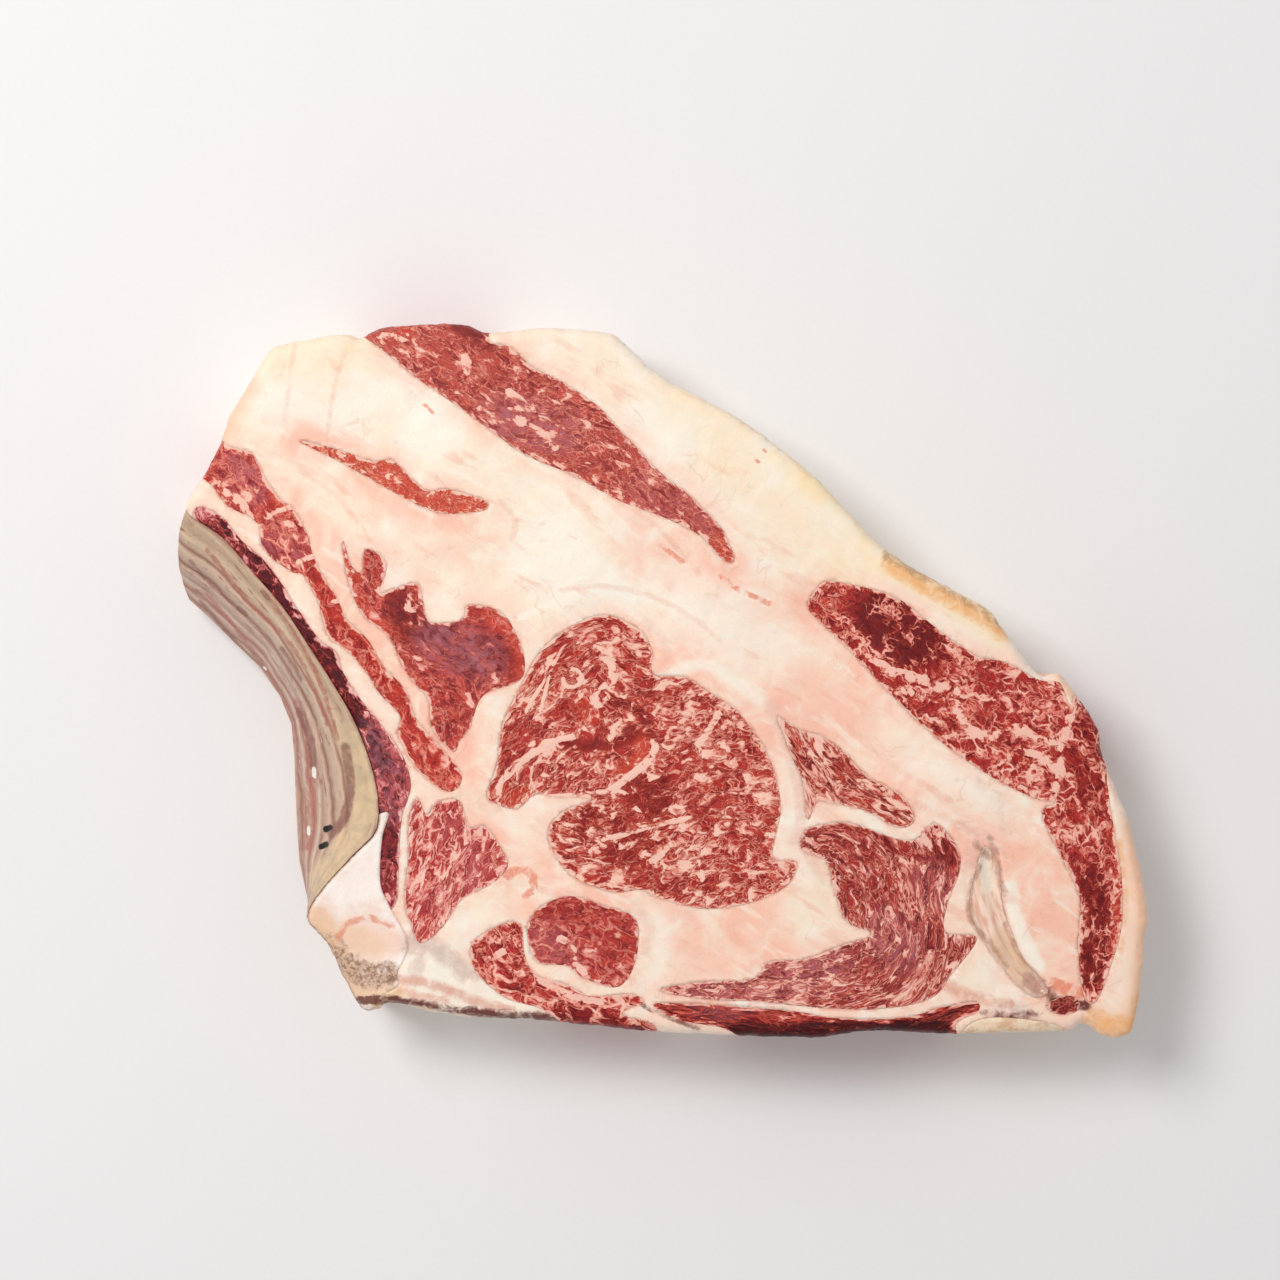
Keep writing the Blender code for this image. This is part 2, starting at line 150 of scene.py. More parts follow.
OUTLINES = {
    "eye": [
        (487, 795), (497, 764), (502, 726), (524, 680), (544, 647), (580, 622), (609, 615), (640, 630),
        (652, 650), (654, 674), (684, 677), (708, 691), (741, 715), (769, 756), (781, 806), (773, 856),
        (796, 861), (792, 880), (774, 894), (740, 906), (700, 909), (656, 897), (640, 890), (610, 892),
        (568, 873), (548, 836), (562, 812), (592, 800), (560, 797), (535, 795), (518, 809), (498, 805),
    ],
    "cap": [
        (800, 842), (812, 827), (850, 823), (893, 838), (915, 840), (935, 823), (957, 846), (960, 870),
        (947, 906), (946, 932), (977, 938), (952, 974), (930, 999), (880, 1009), (822, 1008), (760, 1002),
        (700, 999), (660, 990), (700, 982), (752, 979), (770, 962), (805, 959), (842, 945), (872, 934),
        (846, 921), (833, 886), (826, 862), (806, 853),
    ],
    "cap_lobe": [
        (778, 717), (800, 730), (822, 736), (843, 750), (868, 776), (903, 796), (915, 820), (898, 828),
        (868, 812), (838, 805), (818, 802), (808, 820), (803, 785), (792, 757), (784, 735),
    ],
    "top_strip": [
        (352, 326), (385, 352), (415, 377), (450, 401), (490, 430), (525, 455), (570, 474), (620, 501),
        (665, 518), (700, 536), (723, 560), (735, 560), (722, 529), (700, 506), (684, 491), (660, 472),
        (626, 436), (600, 408), (566, 384), (532, 366), (512, 348), (490, 341), (484, 318), (420, 306),
        (365, 312),
    ],
    "outer_strip": [
        (808, 604), (822, 583), (845, 583), (897, 598), (935, 627), (977, 656), (1005, 662), (1040, 680),
        (1060, 683), (1070, 706), (1078, 692), (1104, 694), (1116, 730), (1107, 768), (1111, 810),
        (1121, 870), (1122, 925), (1108, 975), (1096, 1002), (1084, 996), (1078, 945), (1080, 900),
        (1064, 862), (1046, 826), (1043, 810), (1056, 802), (1036, 799), (988, 775), (935, 737),
        (890, 694), (848, 649), (814, 616),
    ],
    "small_strip": [
        (299, 441), (340, 450), (372, 461), (392, 460), (412, 479), (428, 491), (447, 489), (474, 496),
        (489, 505), (478, 512), (438, 513), (408, 500), (372, 480), (340, 462),
    ],
    "finger_meat": [
        (232, 447), (252, 453), (263, 473), (281, 500), (291, 506), (306, 530), (315, 560), (338, 600),
        (346, 618), (368, 640), (385, 668), (406, 690), (416, 718), (438, 744), (461, 772), (458, 788),
        (443, 790), (414, 766), (398, 735), (400, 716), (380, 694), (366, 672), (348, 652), (328, 636),
        (318, 602), (304, 576), (290, 571), (264, 550), (256, 522), (228, 506), (212, 486), (190, 466),
        (198, 444), (216, 438),
    ],
    "upper_lobe": [
        (343, 540), (352, 566), (362, 572), (366, 549), (387, 563), (380, 592), (396, 588), (418, 583),
        (424, 604), (430, 622), (462, 620), (468, 605), (501, 612), (519, 640), (525, 664), (518, 682),
        (483, 696), (470, 728), (460, 741), (453, 752), (432, 728), (428, 700), (406, 672), (388, 636),
        (362, 614), (347, 576),
    ],
    "fan_meat": [
        (417, 797), (427, 815), (438, 802), (460, 801), (469, 828), (484, 826), (500, 846), (508, 866),
        (492, 884), (462, 900), (442, 928), (420, 943), (407, 914), (404, 894), (408, 860), (409, 820),
    ],
    "round_meat": [
        (528, 924), (545, 904), (574, 896), (604, 906), (630, 914), (639, 930), (634, 966), (617, 987),
        (584, 978), (566, 966), (541, 964), (530, 950),
    ],
    "corner_meat": [
        (471, 946), (486, 932), (510, 922), (522, 928), (525, 955), (536, 975), (566, 984), (590, 996),
        (630, 994), (643, 1002), (622, 1014), (655, 1026), (650, 1050), (590, 1045), (545, 1011),
        (505, 998), (476, 972),
    ],
    "edge_strip": [
        (653, 1005), (680, 1003), (742, 1007), (800, 1012), (835, 1018), (900, 1018), (945, 1007),
        (976, 1002), (978, 1012), (957, 1024), (950, 1050), (850, 1052), (760, 1052), (728, 1030),
        (680, 1020),
    ],
    "edge_meat": [
        (1046, 1006), (1058, 998), (1072, 996), (1080, 1004), (1074, 1013), (1056, 1014),
    ],
    "chine_bone": [
        (387, 812), (382, 838), (380, 882), (390, 908), (408, 944), (398, 972), (398, 986), (378, 998),
        (366, 1020), (334, 1014), (300, 945), (290, 910), (320, 868), (348, 834),
    ],
    "rib_meat": [
        (197, 507), (222, 517), (242, 541), (262, 558), (282, 584), (300, 612), (320, 640), (337, 652),
        (343, 672), (361, 700), (381, 724), (402, 754), (411, 786), (402, 818), (399, 860), (397, 900),
        (386, 910), (372, 884), (372, 845), (366, 823), (358, 790), (341, 735), (292, 652), (238, 588),
        (196, 535),
    ],
    "tendon": [
        (985, 846), (999, 864), (1004, 906), (1022, 955), (1048, 988), (1038, 998), (1018, 986), (984, 942),
        (970, 908), (976, 872),
    ],
    "feather_bone": [
        (966, 1028), (990, 1018), (1030, 1020), (1058, 1026), (1072, 1040), (1066, 1052), (1010, 1054),
        (960, 1052),
    ],
}
PIECES = list(OUTLINES)
MEATS = [
    "eye", "cap", "cap_lobe", "top_strip", "outer_strip", "small_strip", "finger_meat", "upper_lobe",
    "fan_meat", "round_meat", "corner_meat", "edge_strip", "edge_meat", "rib_meat",
]
FAT = -1
OUTSIDE = -2
THIN_STROKE = 5.0

# Down the sides the marks fade out over MARK_DEPTH millimetres, all but a share of the broad tints and of the
# painted sheen.
MARK_DEPTH = 5.0
STAYING_MARKS = {"yellow": 0.5, "peach": 0.25, "pink": 0.3, "painted_sheen": 0.4}
WALL_EASE = 4.0 * MM

# The grain runs along these lines in each muscle. Marbling is long along them and narrow across them.
GRAIN = {
    "eye": [
        [(498, 790), (504, 745), (524, 690), (556, 650), (600, 630), (640, 640)],
        [(545, 780), (600, 762), (660, 735), (730, 712)],
        [(600, 835), (660, 815), (720, 795), (780, 790)],
        [(560, 850), (610, 875), (680, 880), (740, 870), (790, 872)],
    ],
    "cap": [
        [
            (803, 842), (835, 848), (862, 872), (880, 910), (890, 945), (870, 972), (820, 984), (750, 990),
            (670, 992),
        ],
        [(938, 832), (946, 862), (936, 900), (932, 940), (908, 980), (860, 1000), (800, 1002)],
    ],
    "cap_lobe": [
        [(786, 728), (806, 752), (836, 775), (870, 795), (910, 815)],
        [(790, 740), (800, 775), (806, 810)],
    ],
    "top_strip": [[(380, 335), (450, 375), (520, 420), (600, 450), (680, 510), (730, 555)]],
    "outer_strip": [
        [(812, 600), (870, 640), (940, 690), (1020, 745), (1080, 790), (1098, 850), (1100, 920), (1094, 990)],
    ],
    "small_strip": [[(300, 443), (350, 460), (400, 480), (440, 500), (485, 506)]],
    "finger_meat": [
        [
            (212, 450), (245, 480), (268, 515), (300, 555), (322, 592), (346, 632), (376, 672), (405, 715),
            (450, 775),
        ],
    ],
    "upper_lobe": [
        [(350, 560), (385, 605), (430, 650), (450, 690), (458, 740)],
        [(440, 660), (480, 650), (518, 650)],
    ],
    "fan_meat": [
        [(425, 810), (414, 870), (414, 930)], [(462, 815), (450, 870), (426, 930)],
        [(500, 862), (465, 890), (432, 932)],
    ],
    "round_meat": [[(532, 930), (580, 938), (632, 962)]],
    "corner_meat": [[(478, 950), (500, 975), (540, 990), (600, 1006), (640, 1015)]],
    "edge_strip": [[(655, 1012), (740, 1018), (820, 1028), (900, 1025), (970, 1008)]],
    "edge_meat": [[(1046, 1008), (1078, 1002)]],
    "rib_meat": [[(205, 512), (250, 560), (300, 630), (345, 700), (380, 760), (394, 820), (390, 900)]],
    "tendon": [[(984, 850), (988, 900), (1008, 950), (1044, 992)]],
    "chine_bone": [[(330, 900), (360, 930), (385, 985)]],
    "feather_bone": [[(965, 1030), (1070, 1032)]],
}

# Marks are brush strokes in picture units: how strong, half as wide, how soft, and along which points.
MARKS = {
    "vein": [
        (1.0, 3.5, 3.0, [(596, 650), (606, 656), (613, 668), (611, 684), (602, 696)]),
        (1.0, 6.0, 4.0, [(608, 690), (598, 700)]),
        (1.0, 2.2, 2.5, [(654, 738), (655, 750), (644, 764), (628, 778), (612, 790)]),
        (1.0, 2.2, 2.5, [(718, 715), (709, 730), (700, 742), (684, 753)]),
        (1.0, 2.5, 2.5, [(497, 792), (508, 774), (522, 760), (538, 750), (552, 745)]),
        (1.0, 1.6, 2.0, [(520, 745), (545, 742), (572, 737)]),
        (0.9, 1.0, 2.0, [(545, 797), (575, 795), (602, 792), (624, 793), (634, 806), (642, 816)]),
        (1.0, 1.6, 2.0, [(604, 839), (628, 833), (660, 824), (692, 818)]),
        (1.0, 2.2, 2.5, [(670, 845), (656, 858), (640, 866)]),
        (1.0, 1.0, 1.8, [(566, 670), (576, 669), (582, 679), (575, 687), (565, 685), (563, 676)]),
        (1.0, 2.4, 2.0, [(567, 709), (574, 701), (582, 697)]),
        (1.0, 0.8, 1.6, [(518, 735), (528, 708), (542, 684), (548, 668)]),
        (1.0, 0.8, 1.6, [(540, 712), (546, 690), (552, 668), (566, 642)]),
        (1.0, 1.0, 1.8, [(690, 905), (703, 885), (700, 862)]),
        (0.9, 2.6, 4.0, [(868, 658), (895, 672), (925, 680), (955, 692)]),
        (0.9, 2.0, 3.0, [(905, 690), (928, 702), (945, 700)]),
        (0.9, 2.4, 4.0, [(958, 712), (970, 730), (990, 740)]),
        (1.0, 3.0, 3.0, [(990, 740), (1018, 728), (1046, 742), (1060, 748)]),
        (0.9, 2.4, 3.0, [(1072, 690), (1070, 716), (1062, 745), (1060, 775), (1052, 798)]),
        (1.0, 2.0, 3.0, [(1000, 762), (1020, 752), (1044, 758), (1056, 770)]),
        (1.0, 3.0, 3.0, [(517, 420), (528, 424), (540, 434), (556, 446)]),
        (0.8, 1.5, 2.5, [(478, 408), (500, 412), (520, 408), (545, 412)]),
        (0.9, 3.0, 3.0, [(466, 358), (468, 370)]),
        (0.9, 2.0, 3.0, [(509, 392), (520, 400)]),
        (0.8, 5.0, 5.0, [(384, 338), (402, 334)]),
        (0.7, 1.5, 3.0, [(388, 476), (400, 480)]),
        (1.0, 6.0, 4.0, [(416, 596), (412, 604)]),
        (0.8, 0.8, 3.0, [(256, 530), (272, 513), (292, 507)]),
        (0.7, 0.6, 3.0, [(298, 562), (314, 556)]),
        (0.6, 0.6, 3.0, [(322, 606), (340, 600)]),
        (0.8, 2.0, 3.5, [(226, 492), (240, 502), (250, 516)]),
        (0.9, 2.0, 3.5, [(268, 478), (276, 494)]),
        (0.9, 1.6, 3.0, [(560, 938), (572, 946), (574, 962), (584, 972)]),
        (0.8, 1.6, 3.0, [(486, 962), (506, 950), (520, 946)]),
        (0.9, 1.6, 3.0, [(540, 980), (572, 996), (600, 1002)]),
    ],
    "dark": [
        (1.0, 20.0, 22.0, [(885, 618), (912, 640)]),
        (0.5, 14.0, 25.0, [(1096, 730), (1104, 790)]),
        (0.7, 12.0, 18.0, [(640, 778), (655, 796)]),
        (0.5, 10.0, 20.0, [(590, 825), (635, 848)]),
        (0.8, 8.0, 12.0, [(1092, 880), (1098, 920), (1092, 975)]),
        (0.9, 3.0, 8.0, [(458, 326), (480, 338), (488, 344)]),
        (0.8, 8.0, 16.0, [(400, 605), (412, 625), (440, 632)]),
        (0.6, 12.0, 20.0, [(470, 650), (500, 662)]),
        (0.7, 3.0, 6.0, [(612, 700), (640, 712), (650, 734)]),
        (0.7, 3.0, 6.0, [(560, 742), (600, 746), (640, 736)]),
        (1.0, 4.0, 9.0, [(720, 1032), (780, 1034), (840, 1030), (945, 1028)]),
        (0.7, 5.0, 12.0, [(560, 1014), (640, 1028)]),
        (0.6, 6.0, 10.0, [(943, 850), (940, 862)]),
        (1.0, 6.0, 14.0, [(228, 520), (262, 560), (300, 612), (330, 655)]),
        (1.0, 7.0, 12.0, [(338, 680), (362, 728), (378, 760)]),
        (0.5, 6.0, 14.0, [(385, 800), (386, 880)]),
    ],
    "warm": [
        (1.0, 4.0, 10.0, [(643, 745), (640, 760), (625, 772)]),
        (0.7, 5.0, 12.0, [(500, 795), (512, 806), (530, 795)]),
        (0.6, 4.0, 10.0, [(490, 615), (510, 628), (522, 655), (520, 685)]),
        (0.6, 5.0, 12.0, [(345, 560), (356, 600), (380, 630)]),
        (0.7, 5.0, 14.0, [(585, 702), (588, 712)]),
        (0.6, 6.0, 14.0, [(720, 548), (732, 560)]),
        (0.9, 3.0, 6.0, [(402, 328), (408, 332)]),
        (0.8, 3.0, 8.0, [(268, 482), (282, 502)]),
        (0.7, 4.0, 10.0, [(196, 494), (204, 494)]),
        (0.6, 3.0, 8.0, [(1118, 842), (1122, 905), (1117, 960)]),
    ],
    # Painted sheen: lilac light on the wet meat, laid on as colour where these marks run.
    "painted_sheen": [
        (1.0, 8.0, 20.0, [(236, 470), (250, 490)]),
        (0.9, 8.0, 18.0, [(276, 535), (292, 548)]),
        (1.0, 12.0, 24.0, [(440, 640), (480, 660)]),
        (0.8, 12.0, 24.0, [(885, 935), (900, 950)]),
        (0.8, 10.0, 24.0, [(700, 985), (760, 985), (830, 965)]),
        (0.8, 12.0, 22.0, [(375, 740), (392, 800)]),
        (0.6, 10.0, 20.0, [(545, 940), (560, 952)]),
        (0.5, 10.0, 20.0, [(930, 880), (945, 900)]),
        (0.9, 14.0, 20.0, [(500, 415), (560, 430)]),
        (0.5, 10.0, 22.0, [(650, 490), (700, 515)]),
        (0.5, 10.0, 22.0, [(452, 830), (470, 866), (446, 900)]),
        (0.8, 8.0, 14.0, [(700, 1000), (730, 1004)]),
    ],
    "pink": [
        (0.9, 20.0, 50.0, [(700, 660), (760, 700), (840, 710)]),
        (0.6, 12.0, 40.0, [(640, 545), (720, 590), (790, 620)]),
        (0.7, 14.0, 40.0, [(480, 860), (530, 880), (600, 900)]),
        (0.8, 16.0, 36.0, [(700, 935), (760, 940)]),
        (1.0, 16.0, 34.0, [(1020, 870), (1040, 910), (1058, 965)]),
        (0.8, 8.0, 16.0, [(350, 938), (390, 942)]),
        (0.5, 10.0, 40.0, [(300, 440), (420, 520), (520, 560)]),
        (0.6, 8.0, 24.0, [(300, 500), (360, 600), (420, 690), (470, 770)]),
        (0.5, 12.0, 40.0, [(880, 770), (960, 830), (1020, 840)]),
    ],
    "yellow": [
        (0.95, 8.0, 24.0, [(780, 448), (830, 494), (882, 548)]),
        (0.4, 14.0, 50.0, [(700, 410), (790, 480), (850, 550)]),
        (0.8, 6.0, 18.0, [(885, 560), (940, 590), (1000, 630)]),
        (0.4, 10.0, 30.0, [(262, 352), (300, 345), (345, 338)]),
        (1.0, 6.0, 12.0, [(318, 918), (337, 950), (356, 988), (392, 996)]),
        (0.6, 10.0, 14.0, [(340, 936), (368, 950)]),
    ],
    "crust": [
        (1.0, 1.5, 7.0, [(887, 556), (905, 564), (928, 578)]),
        (0.7, 1.0, 5.0, [(928, 578), (950, 592), (978, 608), (996, 622)]),
    ],
    "peach": [
        (0.9, 6.0, 22.0, [(1136, 830), (1150, 905), (1146, 960), (1138, 1010), (1105, 1036)]),
        (0.8, 4.0, 16.0, [(212, 450), (228, 418), (248, 385)]),
        (0.7, 4.0, 14.0, [(1062, 675), (1099, 726), (1110, 770)]),
    ],
    "tan": [
        (0.8, 3.0, 12.0, [(1092, 1018), (1112, 1026), (1132, 1026)]),
        (0.9, 2.0, 11.0, [(890, 564), (930, 588), (975, 612), (1002, 632)]),
        (0.4, 0.8, 6.0, [(1119, 842), (1124, 905), (1118, 960)]),
        (0.6, 3.0, 10.0, [(1110, 1034), (1130, 1030), (1140, 1004)]),
        (0.7, 1.0, 4.0, [(1070, 680), (1090, 705), (1103, 730)]),
    ],
    # Painted shade: darker lines where the fat is creased, with no fold in its surface.
    "painted_crease_shade": [
        (0.8, 0.6, 3.0, [(295, 345), (290, 380), (285, 420)]),
        (0.7, 0.6, 3.0, [(345, 350), (333, 395), (327, 440)]),
        (0.8, 0.6, 3.5, [(500, 500), (515, 520), (512, 540)]),
        (0.7, 0.8, 4.0, [(870, 790), (930, 810), (975, 835)]),
        (0.6, 0.8, 4.0, [(850, 730), (900, 770), (950, 800)]),
        (0.9, 0.8, 3.0, [(560, 590), (600, 586), (650, 596), (690, 616), (720, 640)]),
        (0.7, 0.6, 3.0, [(300, 470), (340, 500), (370, 540)]),
        (0.7, 0.8, 3.0, [(545, 440), (600, 485), (660, 530), (700, 575)]),
        (0.6, 0.8, 4.0, [(480, 880), (520, 884), (560, 896)]),
        (0.7, 0.6, 3.0, [(1130, 850), (1140, 900), (1138, 960)]),
    ],
    "film": [
        (0.9, 2.5, 7.0, [(770, 705), (786, 735), (797, 775), (802, 815), (792, 842)]),
        (0.7, 1.5, 5.0, [(804, 830), (806, 850), (822, 880)]),
        (0.7, 2.0, 5.0, [(646, 622), (662, 636), (668, 658)]),
        (0.7, 1.5, 6.0, [(958, 826), (985, 836), (1000, 850)]),
        (0.6, 2.0, 6.0, [(636, 905), (650, 925), (645, 950)]),
    ],
    "speck": [
        (0.65, 0.6, 3.0, [(657, 541), (668, 551), (683, 562)]),
        (1.0, 0.6, 1.4, [(425, 405), (433, 413)]),
        (1.0, 0.8, 1.2, [(757, 461), (759, 462)]),
        (1.0, 0.8, 1.2, [(764, 450), (766, 452)]),
        (0.8, 0.6, 4.0, [(334, 944), (346, 926), (366, 918), (392, 926)]),
        (0.7, 1.5, 6.0, [(508, 876), (522, 870), (532, 878)]),
        (0.9, 1.0, 4.0, [(533, 880), (533, 888), (526, 896)]),
        (0.5, 0.6, 3.0, [(720, 576), (740, 590), (770, 604)]),
        (0.9, 0.8, 2.4, [(956, 1006), (966, 1010), (978, 1008)]),
        (0.8, 2.0, 6.0, [(1052, 984), (1072, 990), (1088, 994)]),
    ],
    "stain": [
        (1.0, 2.5, 4.0, [(360, 1001), (376, 1000), (392, 1000), (404, 1004)]),
        (0.9, 1.5, 4.0, [(404, 1002), (430, 1005), (455, 1010), (480, 1014)]),
        (1.0, 2.5, 5.0, [(470, 1012), (500, 1016), (545, 1018), (600, 1024), (650, 1028)]),
        (1.0, 2.0, 4.0, [(1046, 992), (1062, 1003), (1086, 1006)]),
        (0.5, 0.8, 5.0, [(984, 1013), (1010, 1015), (1040, 1012)]),
        (0.5, 0.6, 3.0, [(640, 1002), (652, 1010), (700, 1030)]),
    ],
    "band": [
        (0.9, 1.5, 6.0, [(380, 986), (400, 980), (424, 982), (448, 990), (478, 1002), (512, 1012)]),
        (0.7, 1.5, 5.0, [(366, 996), (384, 990), (402, 990), (420, 996), (446, 1002)]),
        (0.6, 1.0, 5.0, [(960, 990), (985, 1000), (1010, 1004)]),
        (0.5, 2.0, 8.0, [(940, 980), (960, 992), (990, 1002)]),
    ],
    # Painted shade: brown darkening along the groove beside the tendon, where the dent sinks the surface.
    "painted_groove_shade": [
        (0.8, 1.0, 3.5, [(975, 842), (980, 850), (990, 858)]),
        (0.8, 0.8, 3.5, [(980, 866), (970, 892), (971, 920), (990, 943), (1006, 966)]),
        (0.9, 1.2, 3.5, [(990, 838), (996, 856), (1000, 880), (1005, 894)]),
        (0.7, 0.8, 3.0, [(1006, 925), (1020, 955), (1036, 974)]),
        (0.9, 4.0, 9.0, [(1030, 982), (1046, 992)]),
    ],
    "chalk": [
        (1.0, 3.0, 7.0, [(984, 862), (988, 888)]),
        (1.0, 1.8, 1.5, [(308, 772), (308, 778)]),
        (0.9, 1.4, 1.5, [(301, 832), (301, 838)]),
        (0.8, 0.8, 1.0, [(254, 668), (256, 670)]),
    ],
    "olive": [
        (0.9, 8.0, 9.0, [(345, 735), (362, 785), (361, 822), (338, 852), (314, 884)]),
        (0.9, 6.0, 12.0, [(1002, 942), (1018, 968)]),
    ],
    "rose": [
        (0.8, 1.0, 3.0, [(205, 549), (246, 602), (288, 643), (311, 684), (326, 725)]),
        (0.8, 1.0, 3.0, [(196, 588), (222, 622), (252, 662), (275, 704), (284, 745)]),
        (0.8, 0.8, 2.5, [(262, 590), (296, 636), (322, 690), (336, 740)]),
        (0.7, 3.0, 6.0, [(292, 706), (304, 742), (306, 790), (300, 850)]),
    ],
    "brown": [
        (1.0, 3.0, 4.0, [(344, 748), (349, 784), (342, 818), (328, 836)]),
        (0.9, 2.5, 4.0, [(293, 712), (305, 745), (307, 768)]),
        (0.9, 1.2, 2.5, [(279, 649), (290, 664), (298, 680)]),
        (0.9, 1.5, 2.5, [(234, 608), (241, 614)]),
        (0.9, 1.2, 2.5, [(262, 592), (267, 598)]),
        (0.7, 0.8, 2.5, [(190, 600), (215, 632), (240, 660)]),
        (0.7, 0.8, 2.0, [(186, 560), (205, 584), (228, 604)]),
    ],
    # Painted shade: near-black spots where the rib has pits, with no hollow in its surface.
    "painted_pit_shade": [
        (1.0, 2.2, 1.8, [(321, 832), (326, 830)]),
        (1.0, 2.0, 1.8, [(316, 850), (322, 847)]),
    ],
    "sponge": [
        (1.0, 7.0, 9.0, [(346, 962), (366, 976), (388, 974)]),
        (0.6, 4.0, 10.0, [(332, 944), (346, 962)]),
    ],
    "grey": [
        (0.9, 2.0, 9.0, [(412, 936), (420, 950), (416, 968)]),
        (1.0, 4.0, 10.0, [(412, 948), (432, 946), (448, 958), (468, 974)]),
        (0.5, 5.0, 12.0, [(975, 850), (995, 900)]),
        (0.7, 6.0, 12.0, [(1004, 1012), (1030, 1020)]),
        (0.2, 2.0, 12.0, [(975, 778), (1000, 800), (1004, 826)]),
    ],
    "bright": [
        (1.0, 20.0, 40.0, [(545, 555), (560, 560)]),
        (0.8, 10.0, 24.0, [(420, 965), (460, 985), (520, 1000)]),
        (0.9, 1.5, 4.0, [(520, 618), (560, 600), (610, 592), (650, 600)]),
        (1.0, 4.0, 7.0, [(1010, 888), (1015, 915), (1028, 948), (1038, 966)]),
        (0.8, 3.0, 8.0, [(628, 700), (700, 664), (760, 700)]),
        (0.6, 14.0, 40.0, [(690, 610), (760, 650)]),
    ],
    "dent": [
        (1.0, 3.0, 10.0, [(990, 858), (996, 900), (1014, 950), (1040, 988)]),
        (0.4, 2.0, 8.0, [(970, 870), (974, 905), (990, 945)]),
        (0.5, 2.0, 8.0, [(410, 946), (440, 958), (466, 976)]),
    ],
}


def tone(red, green, blue):
    """Turn a colour as it is seen on a screen, from 0 to 255, into light."""
    values = [channel / 255 for channel in (red, green, blue)]
    return tuple(v / 12.92 if v <= 0.04045 else ((v + 0.055) / 1.055) ** 2.4 for v in values)


def smooth_loop(points, steps):
    """Run a closed smooth curve through the points."""
    start = np.array(points, float)
    before, end, after = np.roll(start, 1, 0), np.roll(start, -1, 0), np.roll(start, -2, 0)
    rows = []
    for t in np.arange(steps) / steps:
        rows.append(0.5 * (2 * start + (end - before) * t + (2 * before - 5 * start + 4 * end - after) * t * t
                           + (3 * start - before - 3 * end + after) * t ** 3))
    return np.stack(rows, 1).reshape(-1, 2)


def smooth_path(points, steps):
    """Run an open smooth curve through the points."""
    if len(points) < 3:
        return np.array(points, float)
    p = np.array(points, float)
    padded = np.vstack([2 * p[0] - p[1], p, 2 * p[-1] - p[-2]])
    rows = []
    for i in range(len(p) - 1):
        a, b, c, d = padded[i:i + 4]
        t = (np.arange(steps) / steps)[:, None]
        rows.append(0.5 * (2 * b + (c - a) * t + (2 * a - 5 * b + 4 * c - d) * t * t
                           + (3 * b - a - 3 * c + d) * t ** 3))
    return np.vstack(rows + [p[-1:]])


def smooth_step(values):
    """Ease from 0 to 1 between 0 and 1."""
    t = np.clip(values, 0.0, 1.0)
    return t * t * (3.0 - 2.0 * t)


def run_along(path):
    """Give the length run along a path up to each of its points."""
    return np.concatenate([[0.0], np.cumsum(np.hypot(*(path[1:] - path[:-1]).T))])


def follow(spots, knots, table):
    """Read a table's rows at the spots between its knots."""
    return np.stack([np.interp(spots, knots, column) for column in table.T], 1)


def nearest_on_path(points, path):
    """Give each point's distance to a path, and the run along the path up to the nearest place."""
    best = np.full(len(points), np.inf)
    run = np.zeros(len(points))
    travelled = 0.0
    for a, b in zip(path[:-1], path[1:]):
        along = b - a
        length = max(float(np.hypot(*along)), TINY)
        offset = points - a
        t = np.clip(offset @ along / length ** 2, 0.0, 1.0)
        gap = offset - t[:, None] * along
        distance = np.hypot(gap[:, 0], gap[:, 1])
        closer = distance < best
        best[closer] = distance[closer]
        run[closer] = travelled + t[closer] * length
        travelled += length
    return best, run


# The picture's scale and place come from the solids' whole box, which is as high as the outline is.
FACE_SAMPLES = smooth_loop(FACE, FACE_STEPS)
SCALE = (CAD_BOX[1][1] - CAD_BOX[0][1]) / (FACE_SAMPLES[:, 1].max() - FACE_SAMPLES[:, 1].min())
LEFT = CAD_BOX[1][0] - FACE_SAMPLES[:, 0].max() * SCALE
TOP = CAD_BOX[1][1] + FACE_SAMPLES[:, 1].min() * SCALE


def place(points):
    """Turn points in picture units into metres in the frame."""
    p = np.asarray(points, float)
    return np.stack([LEFT + p[:, 0] * SCALE, TOP - p[:, 1] * SCALE], 1)


def make_stations():
    """Pair each sample of the rib's rim with its point on the low outer edge and its lean."""
    loop = place(FACE_SAMPLES)
    rim = np.vstack([loop[RIM_START * FACE_STEPS:], loop[:1]])
    spots = np.arange(len(rim)) / FACE_STEPS
    knots = np.arange(len(RIB_OUTER))
    outer = follow(spots, knots, place(RIB_OUTER))
    share = np.interp(spots, knots, RIB_LEAN)
    across = outer - rim
    length = np.hypot(across[:, 0], across[:, 1])
    bone = np.minimum(RIB_THICKNESS, RIB_SHARE * length)
    shift = across / length[:, None] * (np.minimum(length - bone, RIB_LEAN_LIMIT) * share)[:, None]
    return rim, outer, shift


RIM, RIB_LOW, RIB_SHIFT = make_stations()


def lean(points):
    """Give the shift of the slab's lower face at each point: out along the rib, fading away inside."""
    distance, run = nearest_on_path(points, RIM)
    fade = smooth_step(1.0 - distance / RIB_LEAN_REACH)
    return follow(run, run_along(RIM), RIB_SHIFT) * fade[:, None]


def waves(points, size, seed):
    """Give smooth random heights between about -1 and 1, in waves about as long as the size."""
    return np.array([noise.noise((x / size, y / size, seed)) for x, y in points.tolist()])


def close_loop(loop):
    """Repeat the first point at the end."""
    return np.vstack([loop, loop[:1]])


def drawn_loop(points, step):
    """Draw an outline in metres, evenly spaced and anticlockwise."""
    closed = close_loop(place(smooth_loop(points, OUTLINE_STEPS)))
    knots = run_along(closed)
    amount = max(FEWEST_POINTS, round(knots[-1] / step))
    loop = follow(np.arange(amount) / amount * knots[-1], knots, closed)
    x, y = loop[:, 0], loop[:, 1]
    area = (x * np.roll(y, -1) - y * np.roll(x, -1)).sum()
    return loop if area > 0 else loop[::-1]


